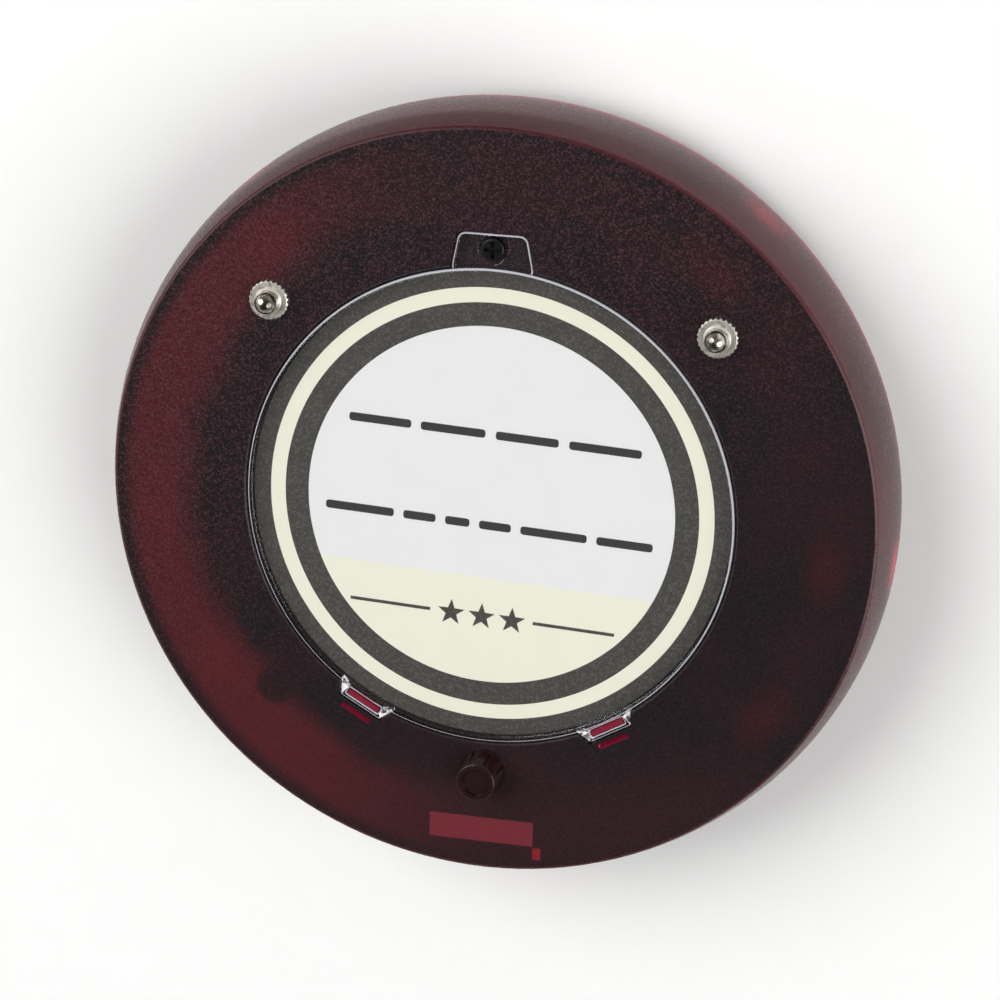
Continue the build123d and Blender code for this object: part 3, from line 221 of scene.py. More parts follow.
def plain(name, colour, roughness, metallic=0.0, grain=0.3 * MM, depth=0.01 * MM, change=0.12,
          spread=0.08, specular=0.5, stretch=None):
    """A material with fine grain, gentle colour change and uneven gloss."""
    s = Shader(name)
    coarse = s.noise(6 * MM, 3)
    fine = s.noise(grain, 3, stretch)
    darker = tuple(c * (1 - 2 * change) for c in colour[:3]) + (1,)
    lighter = tuple(min(1, c * (1 + change)) for c in colour[:3]) + (1,)
    tone = s.maths("ADD", s.product(coarse, 0.5), s.product(fine, 0.5))
    s.link(s.mix(s.step(tone, 0.3, 0.7), darker, lighter), s.main.inputs["Base Color"])
    s.link(s.step(fine, 0.25, 0.75, roughness - spread, roughness + spread), s.main.inputs["Roughness"])
    s.main.inputs["Metallic"].default_value = metallic
    s.main.inputs["Specular IOR Level"].default_value = specular
    if depth:
        s.bump(fine, depth)
    return s


# ---------------------------------------------------------------- case plastic
# the colours that the translucent plastic takes over what lies under it, with painted light and shade: a lit
# ring, shadows over the bosses, glow of the lights, light along the parting line and the wall's top, shade on
# the rim and glints on the grain
FACE_BLACK, FACE_WARM, FACE_BY_WINDOW = srgb(24, 19, 22), srgb(32, 20, 24), srgb(46, 25, 29)
FACE_LIT, PAINTED_BOSS_SHADE, PAINTED_LED_SPOT = srgb(74, 26, 30), srgb(26, 19, 21), srgb(118, 26, 36)
OVER_MODULE, OVER_SOLDER, POST_BLACK = srgb(110, 40, 48), srgb(128, 28, 38), srgb(35, 17, 20)
UNDERSIDE_GREY, LOWER_WALL_GREY = srgb(74, 62, 64), srgb(72, 62, 64)
WALL_DARK, WALL_LIGHT, PAINTED_WALL_TOP_LIGHT = srgb(62, 29, 31), srgb(76, 33, 37), srgb(84, 32, 38)
PAINTED_RIM_SHADE, PAINTED_LED_GLOW = srgb(56, 14, 22), srgb(150, 16, 36)
PAINTED_PARTING_GLOW, LEAK_RED = srgb(176, 40, 78), srgb(150, 40, 72)
PAINTED_GRAIN_GLINT, GRAIN_DARK = srgb(92, 58, 64), srgb(19, 14, 16)
RIB_RED, SLOT_RED, SLOT_PINK = srgb(126, 30, 50), srgb(120, 26, 50), srgb(214, 70, 116)
CASE_SPECULAR = 0.36
# pairs of places between which one look turns into the next
FACE_TO_WALL = (50.75 * MM, 51.05 * MM)
LIT_TO_WALL = (50.6 * MM, 48.2 * MM)
BOARD_TO_LIT = (BOARD_RADIUS - 4.5 * MM, BOARD_RADIUS + 1.5 * MM)
WARM_TO_WINDOW = (-26 * MM, -44 * MM)
BOSS_SHADOW = (3.1 * MM, 1.9 * MM)
FACE_SPOT, WALL_SPOT = (4.2 * MM, 0.4 * MM), (3.4 * MM, 0.2 * MM)
PARTING_UNDER, PARTING_OVER, LEAK_FADE = (4.1 * MM, 4.4 * MM), (5.2 * MM, 4.5 * MM), (7.2 * MM, 4.6 * MM)
WALL_TOP_Z, RIM_Z = (13.6 * MM, 15.4 * MM), (11 * MM, 13 * MM)
RIB_Z, SLOT_Z = (14.25 * MM, 14.5 * MM), (15.79 * MM, 15.7 * MM)
POST_Z = (FACE_Z + 0.05 * MM, FACE_Z + 0.3 * MM)
POCKET_TO_FACE = (32.8 * MM, 33.2 * MM)
# what lies under the face or stands on it
MODULE_X = (MODULE_LOW[0] + 0.3 * MM, MODULE_HIGH[0] - 0.4 * MM)
MODULE_Y = (-47.4 * MM, -43.9 * MM)
SOLDER_X, SOLDER_Y = (7.1 * MM, 8.2 * MM), (-49.3 * MM, -47.6 * MM)
LED_ANGLES = (355, 50, 130, 185, 214, 326)
BRIGHT_LEDS = (355, 185)
LED_RADIUS, LED_Z = 45 * MM, 8.6 * MM
LIGHT_FROM = 186  # the angle from which most light comes up past the board
SCREW_RADIUS = 2.1 * MM
BOSS_Y = SCREWS_LOW[1] + SCREW_RADIUS
BOSS_AT = ((SCREWS_LOW[0] + SCREW_RADIUS, BOSS_Y), (SCREWS_HIGH[0] - SCREW_RADIUS, BOSS_Y))
POST_RADIUS, POST_Y = 3.4 * MM, -37.1 * MM
# the places of the cover's clips: how far out, and half their width and length
CLIP_ANGLES = (-120.0, -60.0)
RIB_MIDDLE, RIB_WIDE, RIB_LONG = 33.45 * MM, 0.5 * MM, 2.5 * MM
SLOT_MIDDLE, SLOT_WIDE, SLOT_LONG = 35.425 * MM, 0.45 * MM, 2.3 * MM


def face_colour(s, x, y, radius, cloud):
    """The face: near black over the board, painted lit red past its edge on the side light comes from, with
    painted shadows over the bosses and painted glow over the lights.
    """
    inner = s.mix(s.step(cloud, 0.35, 0.65), FACE_BLACK, FACE_WARM)
    inner = s.mix(s.step(y, *WARM_TO_WINDOW, 0.0, 0.6), inner, FACE_BY_WINDOW)
    toward, _ = s.turned(x, y, LIGHT_FROM)
    toward = s.maths("DIVIDE", toward, s.maths("MAXIMUM", radius, 1 * MM))
    wavy = s.maths("ADD", radius, s.product(s.maths("SUBTRACT", cloud, 0.5), 5 * MM))
    past_board = s.product(s.step(wavy, *BOARD_TO_LIT), s.step(radius, *LIT_TO_WALL))
    # painted light: past the board the face is painted lit red, most towards LIGHT_FROM
    lit = s.product(past_board, s.step(toward, 0.0, 0.75, 0.05, 1.0))
    face = s.mix(lit, inner, FACE_LIT)
    for boss in BOSS_AT:
        far = s.length(s.maths("SUBTRACT", x, boss[0]), s.maths("SUBTRACT", y, boss[1]))
        # painted shadow: a dark spot over each boss
        face = s.mix(s.product(s.step(far, *BOSS_SHADOW), 0.8), face, PAINTED_BOSS_SHADE)
    for angle in LED_ANGLES:
        out, across = s.turned(x, y, angle)
        far = s.length(s.maths("SUBTRACT", out, LED_RADIUS), s.product(across, 0.6))
        # painted light: a faint red spot over each light on the board's edge
        face = s.mix(s.product(s.step(far, *FACE_SPOT), 0.11), face, PAINTED_LED_SPOT)
    return face


def module_through(s, face, x, y):
    """The face painted lighter red over the pale top of the display module and the end of its solder tab
    under it: partly their colour seen through, partly painted light from the module, which is lit from
    inside.
    """
    soft = 0.1 * MM
    module = s.product(s.band(x, *MODULE_X, soft), s.band(y, *MODULE_Y, soft))
    face = s.mix(module, face, OVER_MODULE)
    soft = 0.12 * MM
    solder = s.product(s.band(x, *SOLDER_X, soft), s.band(y, *SOLDER_Y, soft))
    return s.mix(solder, face, OVER_SOLDER)


def wall_colour(s, upper, x, y, z, cloud):
    """The side wall's colour with painted light and shade, and the strengths of the painted glow along its
    parting line, of the light leaking there and of the painted shade on its rim.
    """
    side = s.mix(s.step(cloud, 0.3, 0.7), WALL_DARK, WALL_LIGHT)
    if not upper:
        side = s.mix(0.5, side, LOWER_WALL_GREY)
    over_line = s.step(z, *PARTING_UNDER)
    # painted light: the parting line glows pink, most towards +X and +Y, and red light leaks above it
    far_side = s.step(s.maths("ADD", x, y), -10 * MM, 60 * MM, 0.15, 0.95)
    parting_glow = s.product(over_line, s.step(z, *PARTING_OVER), far_side)
    side = s.mix(parting_glow, side, PAINTED_PARTING_GLOW)
    leak = s.product(over_line, s.step(z, *LEAK_FADE), far_side, 0.6)
    side = s.mix(leak, side, LEAK_RED)
    # painted light: the top of the wall is painted lighter red towards +Y, as light through its thin edge
    lit_wall_top = s.product(s.step(z, *WALL_TOP_Z), s.step(y, -20 * MM, 25 * MM))
    side = s.mix(s.product(lit_wall_top, 0.5), side, PAINTED_WALL_TOP_LIGHT)
    # painted shade: the rim is painted darker red towards +Y and -X, and its gloss is dulled there
    rim = s.product(s.step(y, 10 * MM, 45 * MM), s.step(x, 35 * MM, -10 * MM), s.step(z, *RIM_Z), 0.7)
    side = s.mix(rim, side, PAINTED_RIM_SHADE)
    return side, parting_glow, leak, rim


def led_glow(s, x, y, z, on_side):
    """How strongly the lights on the board's edge shine through the side wall, as soft ellipses."""
    glow = 0.0
    for angle in LED_ANGLES:
        out, across = s.turned(x, y, angle)
        far = s.length(s.product(across, 0.62), s.maths("SUBTRACT", z, LED_Z))
        spot = s.product(s.step(far, *WALL_SPOT), s.step(out, 40 * MM, 46 * MM), on_side)
        glow = s.maths("ADD", glow, s.product(spot, 0.9 if angle in BRIGHT_LEDS else 0.45))
    return glow


def grain_with_painted_glints(s, colour, upper, x, y, radius, on_side):
    """The colour with the specks of the moulded grain and painted glints on them, strongest towards the tab's
    side, where the light grazes.
    """
    flake = s.cells(0.2 * MM)
    slant = s.maths("SUBTRACT", y, s.product(x, 0.5))
    on_face = s.product(s.step(slant, -25 * MM, 30 * MM, 0.2, 1.0), s.maths("SUBTRACT", 1.0, on_side))
    on_wall = s.product(on_side, s.step(y, 20 * MM, -20 * MM, 0.3, 0.9))
    glinting = s.maths("ADD", on_face, on_wall)
    if upper:
        glinting = s.product(glinting, s.step(radius, *POCKET_TO_FACE))
    # painted highlight: pale glints on the grain's flakes
    colour = s.mix(s.product(s.step(flake, 0.55, 1.0, 0.0, 0.5), glinting), colour, PAINTED_GRAIN_GLINT)
    return s.mix(s.product(s.step(flake, 0.4, 0.0, 0.0, 0.5), glinting), colour, GRAIN_DARK)


def clip_lights(s, colour, emission, x, y, z):
    """The red ribs inside the cover's loops, and the slots past them that light shines up through."""
    for angle in CLIP_ANGLES:
        out, across = s.turned(x, y, angle)
        soft = 0.1 * MM
        rib = s.product(s.band(out, RIB_MIDDLE - RIB_WIDE, RIB_MIDDLE + RIB_WIDE, soft),
                        s.band(across, -RIB_LONG, RIB_LONG, soft), s.step(z, *RIB_Z))
        colour = s.mix(rib, colour, RIB_RED)
        soft = 0.05 * MM
        slot = s.product(s.band(out, SLOT_MIDDLE - SLOT_WIDE, SLOT_MIDDLE + SLOT_WIDE, soft),
                         s.band(across, -SLOT_LONG, SLOT_LONG, soft), s.step(z, *SLOT_Z))
        streak = s.product(s.band(out, SLOT_MIDDLE - 0.1 * MM, SLOT_MIDDLE + 0.12 * MM, 0.12 * MM),
                           s.step(s.noise(1.2 * MM, 2), 0.4, 0.6))
        colour = s.mix(slot, colour, s.mix(streak, SLOT_RED, SLOT_PINK))
        emission = s.maths("ADD", emission, s.product(slot, 0.4))
    return colour, emission


def case_plastic(name, upper):
    """Dark red translucent plastic: what lies under it shows as soft shapes painted in its colour, with
    painted light and shade and a painted glow.
    """
    s = Shader(name)
    x, y, z = s.axes()
    radius = s.length(x, y)
    fine = s.noise(0.33 * MM, 3)
    cloud = s.noise(11 * MM, 2)
    face = face_colour(s, x, y, radius, cloud)
    face = module_through(s, face, x, y) if upper else s.mix(0.45, face, UNDERSIDE_GREY)
    side, parting_glow, leak, rim = wall_colour(s, upper, x, y, z, cloud)
    on_side = s.step(radius, *FACE_TO_WALL)
    glow = led_glow(s, x, y, z, on_side)
    colour = s.mix(on_side, face, side)
    # painted light: the wall glows red at the lights on the board's edge
    colour = s.mix(s.maths("MINIMUM", glow, 1.0), colour, PAINTED_LED_GLOW)
    colour = grain_with_painted_glints(s, colour, upper, x, y, radius, on_side)
    # painted glow: the plastic gives off its own light at the lights, along the parting line and where light
    # leaks
    emission = s.maths("ADD", s.product(glow, 0.8), s.product(parting_glow, on_side, 0.15))
    emission = s.maths("ADD", emission, s.product(leak, on_side, 0.08))
    gloss = s.step(fine, 0.3, 0.7, 0.24, 0.38)
    if upper:
        colour, emission = clip_lights(s, colour, emission, x, y, z)
        from_post = s.length(x, s.maths("SUBTRACT", y, POST_Y))
        on_post = s.step(from_post, POST_RADIUS + 0.1 * MM, POST_RADIUS - 0.1 * MM)
        post = s.product(on_post, s.step(z, *POST_Z))
        colour = s.mix(post, colour, POST_BLACK)
        gloss = s.maths("SUBTRACT", gloss, s.product(post, 0.16))
    s.link(colour, s.main.inputs["Base Color"])
    s.link(colour, s.main.inputs["Emission Color"])
    s.link(emission, s.main.inputs["Emission Strength"])
    s.link(gloss, s.main.inputs["Roughness"])
    # painted shade: the rim's gloss is dulled where it is painted darker
    dulled = s.product(rim, on_side, 0.3)
    s.link(s.maths("SUBTRACT", CASE_SPECULAR, dulled), s.main.inputs["Specular IOR Level"])
    s.bump(s.product(fine, s.step(on_side, 0.0, 1.0, 1.0, 0.45)), 0.03 * MM)
    return s


# ---------------------------------------------------------------- clear plastics and lights
WINDOW_TINT, WINDOW_GLOW = srgb(236, 150, 162), srgb(196, 18, 56)
WINDOW_OWN = 0.5  # share of the window that hides what lies behind it
LOWER_EDGE_Z = (WINDOW_LOW[2] + 0.6 * MM, WINDOW_LOW[2] + 0.25 * MM)
LOWER_EDGE_Y = (-40 * MM, -46 * MM)


def clear_plastic(name, body, colour, roughness, mirror=0.0, painted_glow=0.0):
    """Clear plastic: body is its own share over what lies behind it, and its gloss grows at the edges."""
    s = Shader(name)
    s.main.inputs["Metallic"].default_value = mirror
    s.main.inputs["Emission Color"].default_value = colour
    s.main.inputs["Emission Strength"].default_value = painted_glow
    fine = s.noise(2.5 * MM, 2)
    darker = tuple(c * 0.94 for c in colour[:3]) + (1,)
    s.link(s.mix(fine, colour, darker), s.main.inputs["Base Color"])
    s.link(s.step(fine, 0.3, 0.7, roughness, roughness + 0.03), s.main.inputs["Roughness"])
    facing = s.tree.nodes.new("ShaderNodeLayerWeight").outputs["Facing"]
    s.show_through(s.step(s.maths("POWER", facing, 5.0), 0.0, 1.0, body, 1.0))
    return s


def window_glass(name):
    """Smoked red window, see-through to the lit digits, with red light along its lower edge."""
    s = Shader(name)
    _, y, z = s.axes()
    haze = s.noise(4 * MM, 2)
    s.link(s.mix(haze, srgb(20, 6, 9), srgb(28, 9, 12)), s.main.inputs["Base Color"])
    s.link(s.step(haze, 0.3, 0.7, 0.02, 0.05), s.main.inputs["Roughness"])
    lower = s.product(s.step(z, *LOWER_EDGE_Z), s.step(y, *LOWER_EDGE_Y))
    s.main.inputs["Emission Color"].default_value = WINDOW_GLOW
    patches = s.step(s.noise(7 * MM, 1), 0.35, 0.65, 0.04, 0.4)
    s.link(s.product(lower, patches), s.main.inputs["Emission Strength"])
    s.show_through(s.maths("MAXIMUM", s.product(lower, 0.9), WINDOW_OWN), WINDOW_TINT)
    return s


def glint(name):
    """Thick ends of clear plastic that break the light into white and dark facets."""
    s = Shader(name)
    facets = s.cells(0.5 * MM)
    body = s.mix(s.step(facets, 0.3, 0.6), srgb(110, 96, 100), srgb(250, 250, 250))
    s.link(body, s.main.inputs["Base Color"])
    s.main.inputs["Roughness"].default_value = 0.15
    spark = s.mix(s.step(facets, 0.45, 0.6), (0, 0, 0, 1), srgb(200, 200, 205))
    s.link(spark, s.main.inputs["Emission Color"])
    s.main.inputs["Emission Strength"].default_value = 0.25
    s.bump(s.noise(0.4 * MM, 2), 0.1 * MM)
    s.show_through(s.step(facets, 0.2, 0.5, 0.35, 0.9))
    return s


def glowing(name, colour, strength):
    """A lit segment: a bright core, slightly uneven."""
    s = plain(name, colour, 0.4, change=0.05)
    uneven = s.noise(0.5 * MM, 2)
    s.link(s.mix(s.step(uneven, 0.35, 0.65), srgb(255, 52, 60), srgb(255, 60, 118)),
           s.main.inputs["Emission Color"])
    s.main.inputs["Emission Strength"].default_value = strength
    return s


def glowing_case(name, colour):
    """The display module's pale body, lit from inside by its own segments."""
    s = plain(name, colour, 0.45, change=0.04)
    s.main.inputs["Emission Color"].default_value = srgb(200, 24, 40)
    s.main.inputs["Emission Strength"].default_value = 0.25
    return s


def brushed(name, colour, roughness, flange_z=None):
    """Turned metal with fine scratches and darker film. A flange below flange_z is duller, and a pin above
    it is painted darker in patches, as a painted reflection of the dim room."""
    s = Shader(name)
    fine = s.noise(0.12 * MM, 3)
    film = s.noise(0.8 * MM, 3)
    dark = tuple(c * 0.45 for c in colour[:3]) + (1,)
    tone = s.mix(s.step(film, 0.48, 0.7, 0.0, 0.8), colour, dark)
    gloss = s.step(fine, 0.3, 0.7, roughness - 0.06, roughness + 0.08)
    if flange_z:
        z = s.axes()[2]
        gloss = s.maths("ADD", gloss, s.step(z, flange_z + 0.2 * MM, flange_z, 0.0, 0.26))
        # painted reflection: the pin is darker in patches where it would mirror the dim room
        patches = s.step(s.noise(1.3 * MM, 2), 0.42, 0.58, 0.2, 0.9)
        painted_dark_reflection = s.product(s.step(z, flange_z, flange_z + 0.9 * MM), patches)
        tone = s.mix(painted_dark_reflection, tone, srgb(92, 82, 74))
    s.link(tone, s.main.inputs["Base Color"])
    s.link(gloss, s.main.inputs["Roughness"])
    s.main.inputs["Metallic"].default_value = 1.0
    s.bump(s.noise(0.25 * MM, 2, (1, 1, 3)), 0.012 * MM)
    return s


def circuit_board(name):
    """Green solder mask, a little lighter over patches of copper tracks that run along X or Y."""
    s = plain(name, srgb(20, 80, 42), 0.35)
    x, y, _ = s.axes()
    patch = s.cells(6 * MM)
    lengthways = s.step(patch, 0.49, 0.51)
    place = s.maths("ADD", s.product(y, lengthways), s.product(x, s.maths("SUBTRACT", 1.0, lengthways)))
    track = s.step(s.maths("PINGPONG", place, 0.45 * MM), 0.2 * MM, 0.26 * MM)
    track = s.product(track, s.step(s.cells(2.4 * MM), 0.3, 0.31))
    mask = s.main.inputs["Base Color"].links[0].from_socket
    s.link(s.mix(track, mask, srgb(44, 112, 64)), s.main.inputs["Base Color"])
    return s


def paper(name, colour, shade=0.03, specks=0.0):
    """Printed label stock: fine fibres, faint mottling of the ink and pale specks where it is dark."""
    s = Shader(name)
    fibre = s.noise(0.25 * MM, 4, (1, 2.2, 1))
    mottle = s.noise(5 * MM, 3)
    tone = s.maths("ADD", s.product(fibre, 0.6), s.product(mottle, 0.4))
    darker = tuple(c * (1 - 2 * shade) for c in colour[:3]) + (1,)
    tone = s.mix(s.step(tone, 0.35, 0.65), darker, colour)
    if specks:
        tone = s.mix(s.step(s.cells(0.24 * MM), 0.45, 1.0, 0.0, specks), tone, srgb(190, 188, 178))
    s.link(tone, s.main.inputs["Base Color"])
    s.link(s.step(fibre, 0.3, 0.7, 0.45, 0.6), s.main.inputs["Roughness"])
    s.main.inputs["Specular IOR Level"].default_value = 0.25
    s.bump(fibre, 0.002 * MM)
    return s


def build_materials():
    """One material for each slot of the record, and a few for the printed label."""
    made = {
        "case_red": case_plastic("case_red", True),
        "case_red_lower": case_plastic("case_red_lower", False),
        "window_smoked": window_glass("window_smoked"),
        "clear_plastic": clear_plastic("clear_plastic", 0.03, srgb(240, 242, 244), 0.05, 1.0),
        # painted highlight: the cover's edges are whitish, mostly opaque and glow a little
        "clear_edge_highlight": clear_plastic("clear_edge_highlight", 0.72, srgb(222, 220, 230), 0.12, 0.0, 0.12),
        "clear_glint": glint("clear_glint"),
        "label_print": paper("label_print", srgb(237, 237, 237), 0.012),
        "label_cream": paper("label_cream", srgb(240, 240, 221), 0.012),
        "label_olive": paper("label_olive", srgb(70, 68, 64), 0.08, 0.09),
        "label_ink": paper("label_ink", srgb(58, 58, 58), 0.06),
        "black_steel": plain("black_steel", srgb(38, 38, 40), 0.35, 0.8),
        "zinc_steel": brushed("zinc_steel", srgb(190, 192, 196), 0.3),
        "nickel": brushed("nickel", srgb(232, 226, 216), 0.14, FACE_Z + FLANGE_RISE),
        "brass": brushed("brass", srgb(200, 165, 90), 0.3),
        "gold_contact": brushed("gold_contact", srgb(230, 190, 100), 0.2),
        "board_green": circuit_board("board_green"),
        "module_white": glowing_case("module_white", srgb(205, 60, 66)),
        "module_black": plain("module_black", srgb(22, 20, 21), 0.5),
        "segment_lit": glowing("segment_lit", srgb(255, 60, 80), 8.0),
        "segment_off": plain("segment_off", srgb(44, 20, 24), 0.4),
        "led_body": plain("led_body", srgb(240, 150, 140), 0.3),
        "battery_foil": plain("battery_foil", srgb(190, 190, 192), 0.35, 0.9),
        "foam": plain("foam", srgb(40, 40, 40), 0.9),
        "connector_white": plain("connector_white", srgb(225, 220, 205), 0.5),
        "lead_red": plain("lead_red", srgb(170, 22, 22), 0.4),
        "lead_black": plain("lead_black", srgb(24, 24, 24), 0.4),
        "chip_black": plain("chip_black", srgb(34, 34, 35), 0.55),
        "weight_metal": brushed("weight_metal", srgb(120, 120, 122), 0.45),
        "rubber_boot": plain("rubber_boot", srgb(30, 30, 30), 0.8),
        "tin_shield": brushed("tin_shield", srgb(200, 200, 202), 0.3),
        "ceramic_tan": plain("ceramic_tan", srgb(180, 140, 95), 0.5),
        "copper_wire": plain("copper_wire", srgb(190, 110, 70), 0.3, 1.0),
    }
    return {slot: shader.material for slot, shader in made.items()}


def dress_nodes():
    """Give every CAD node the material of its slot."""
    slots = {part["node"]: part["material_slot"] for part in frame["record"]["subparts"]}
    for name, piece in frame["nodes"].items():
        look = "case_red_lower" if name == "bottom_shell" else slots[name]
        piece.data.materials.clear()
        piece.data.materials.append(MATERIALS[look])


# ---------------------------------------------------------------- mesh helpers
WELD = 1e-7  # corners closer than this become one
FLAT = 0.98  # a face whose normal lies this close to Z is shaded flat


def add_piece(name, mesh, looks, body, slot, *nodes):
    """Link a mesh as a piece of the object that rides on body and stands for nodes."""
    piece = bpy.data.objects.new(name, mesh)
    bpy.context.scene.collection.objects.link(piece)
    for look in looks:
        mesh.materials.append(MATERIALS[look])
    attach(piece, body)
    if nodes:
        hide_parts(*nodes)
    return piece


def bent_outline(corners, radius, steps=6):
    """Corner points rounded by radius, as a closed list of points."""
    out = []
    count = len(corners)
    for k in range(count):
        here = Vector(corners[k])
        back = (Vector(corners[k - 1]) - here).normalized()
        on = (Vector(corners[(k + 1) % count]) - here).normalized()
        half = back.angle(on) / 2
        reach = radius / abs(sin(half) / cos(half))
        centre = here + (back + on).normalized() * (radius / sin(half))
        start, stop = here + back * reach, here + on * reach
        first, last = (start - centre), (stop - centre)
        sweep = first.angle_signed(last)
        for n in range(steps + 1):
            turn = Matrix.Rotation(-sweep * n / steps, 2)
            out.append(centre + turn @ first)
    return out


def plate(outlines, low, high, edge):
    """Mesh of a flat plate with rounded edges: the first outline is its rim and the rest are holes."""
    curve = bpy.data.curves.new("plate", "CURVE")
    curve.dimensions = "2D"
    curve.fill_mode = "BOTH"
    curve.extrude = (high - low) / 2 - edge
    curve.bevel_depth = edge
    curve.bevel_resolution = 2
    curve.offset = -edge
    for outline in outlines:
        spline = curve.splines.new("POLY")
        spline.points.add(len(outline) - 1)
        for point, place in zip(spline.points, outline):
            point.co = (place[0], place[1], 0, 1)
        spline.use_cyclic_u = True
    holder = bpy.data.objects.new("plate", curve)
    mesh = bpy.data.meshes.new_from_object(holder)
    bpy.data.objects.remove(holder)
    bpy.data.curves.remove(curve)
    mesh.transform(Matrix.Translation((0, 0, (low + high) / 2)))
    return mesh


def circle(centre, radius, count):
    """Points evenly round a circle, as a closed list."""
    return [Vector((centre[0] + radius * cos(tau * k / count), centre[1] + radius * sin(tau * k / count)))
            for k in range(count)]


def joined(name, meshes, look=None):
    """One mesh from several; look gives a face's material number from its centre and normal."""
    work = bmesh.new()
    for mesh in meshes:
        work.from_mesh(mesh)
        bpy.data.meshes.remove(mesh)
    bmesh.ops.remove_doubles(work, verts=work.verts, dist=WELD)
    work.normal_update()
    for face in work.faces:
        face.material_index = look(face.calc_center_median(), face.normal) if look else 0
        face.smooth = abs(face.normal.z) < FLAT
    out = bpy.data.meshes.new(name)
    work.to_mesh(out)
    work.free()
    return out


# ---------------------------------------------------------------- printed label
ART_TURN = radians(-2.5)  # the label is stuck on slightly askew
LABEL_RADIUS = LABEL_HIGH[0]
LABEL_SIDES = 240
LABEL_BEVEL = 0.08 * MM
RINGS = (24.7 * MM, 27.87 * MM, 29.89 * MM)
CREAM_Y = -10.0 * MM
INK_RISE = 0.02 * MM
INK_EDGE = 0.004 * MM
# in millimetres on the artwork: each row's height, and where its bars start and stop
BAR_ROWS = (
    (10.0, ((-19.6, -11.2), (-9.9, -1.2), (0.2, 8.6), (10.0, 19.6))),
    (-2.6, ((-22.2, -12.9), (-11.6, -7.2), (-5.9, -2.6), (-1.3, 3.0), (4.3, 13.2), (14.5, 22.0))),
)
BAR_HALF = 0.575
BAR_CORNER = 0.4 * MM
RULES = ((-18.2, -7.2), (6.8, 17.8))
RULE_LOW, RULE_HIGH = -15.65, -15.2
STARS_X, STARS_Y = (-4.35, -0.2, 3.95), -15.5
STAR_POINT, STAR_NOTCH = 1.9, 0.76


def art(x, y):
    """A place on the label's artwork, in millimetres, turned as the label is."""
    return Matrix.Rotation(ART_TURN, 2) @ Vector((x * MM, y * MM))


def art_box(start, stop, low, high):
    """Corners of an upright rectangle on the artwork."""
    return [art(start, low), art(stop, low), art(stop, high), art(start, high)]


def star(x, y):
    """Outline of a five-pointed star on the artwork."""
    points = []
    for k in range(10):
        reach = STAR_NOTCH if k % 2 else STAR_POINT
        turn = pi / 2 + k * pi / 5
        points.append(art(x + reach * cos(turn), y + reach * sin(turn)))
    return points


def label_disc():
    """Mesh of the disc in its printed rings: white and cream inside, then dark, cream and dark."""
    work = bmesh.new()
    levels = [(radius, LABEL_HIGH[2]) for radius in (*RINGS, LABEL_RADIUS - LABEL_BEVEL)]
    levels += [(LABEL_RADIUS, LABEL_HIGH[2] - LABEL_BEVEL), (LABEL_RADIUS, LABEL_LOW[2])]
    loops = [[work.verts.new((*spot, z)) for spot in circle((0, 0), radius, LABEL_SIDES)]
             for radius, z in levels]
    middle = work.faces.new(loops[0])
    for inside, outside in zip(loops, loops[1:]):
        for k in range(LABEL_SIDES):
            n = (k + 1) % LABEL_SIDES
            work.faces.new((inside[k], outside[k], outside[n], inside[n]))
    work.faces.new(loops[-1][::-1])
    # the middle is cut in two where the white turns to cream
    up = Matrix.Rotation(ART_TURN, 3, "Z") @ Vector((0, 1, 0))
    geometry = [middle, *middle.edges, *middle.verts]
    bmesh.ops.bisect_plane(work, geom=geometry, plane_co=up * CREAM_Y, plane_no=up)
    work.normal_update()
    for face in work.faces:
        at = face.calc_center_median()
        far = Vector((at.x, at.y)).length
        if far < RINGS[0] and face.normal.z > 0:
            face.material_index = 0 if at.dot(up) > CREAM_Y else 1
        elif RINGS[1] < far < RINGS[2]:
            face.material_index = 1
        else:
            face.material_index = 2
    mesh = bpy.data.meshes.new("label_disc")
    work.to_mesh(mesh)
    work.free()
    return mesh


def ink(name, outlines):
    """Mesh of flat raised print."""
    low, high = LABEL_HIGH[2] - INK_RISE, LABEL_HIGH[2] + INK_RISE
    return joined(name, [plate([outline], low, high, INK_EDGE) for outline in outlines])


def add_label():
    """The label disc, two rows of plain bars in place of words, and three plain stars between two rules."""
    papers = ("label_print", "label_cream", "label_olive")
    add_piece("label_disc", label_disc(), papers, "case", "label_print", "label_insert")
    bars = [bent_outline(art_box(start, stop, y - BAR_HALF, y + BAR_HALF), BAR_CORNER, 4)
            for y, row in BAR_ROWS for start, stop in row]
    add_piece("label_bars", ink("label_bars", bars), ("label_ink",), "case", "label_print")
    marks = [art_box(start, stop, RULE_LOW, RULE_HIGH) for start, stop in RULES]
    marks += [star(x, STARS_Y) for x in STARS_X]
    add_piece("label_marks", ink("label_marks", marks), ("label_olive",), "case", "label_print")


# ---------------------------------------------------------------- clear cover
COVER_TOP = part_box("label_cover")[1][2]
COVER_UNDER = LABEL_HIGH[2] + 0.1 * MM
COVER_EDGE = 0.42 * MM
COVER_SIDES = 240
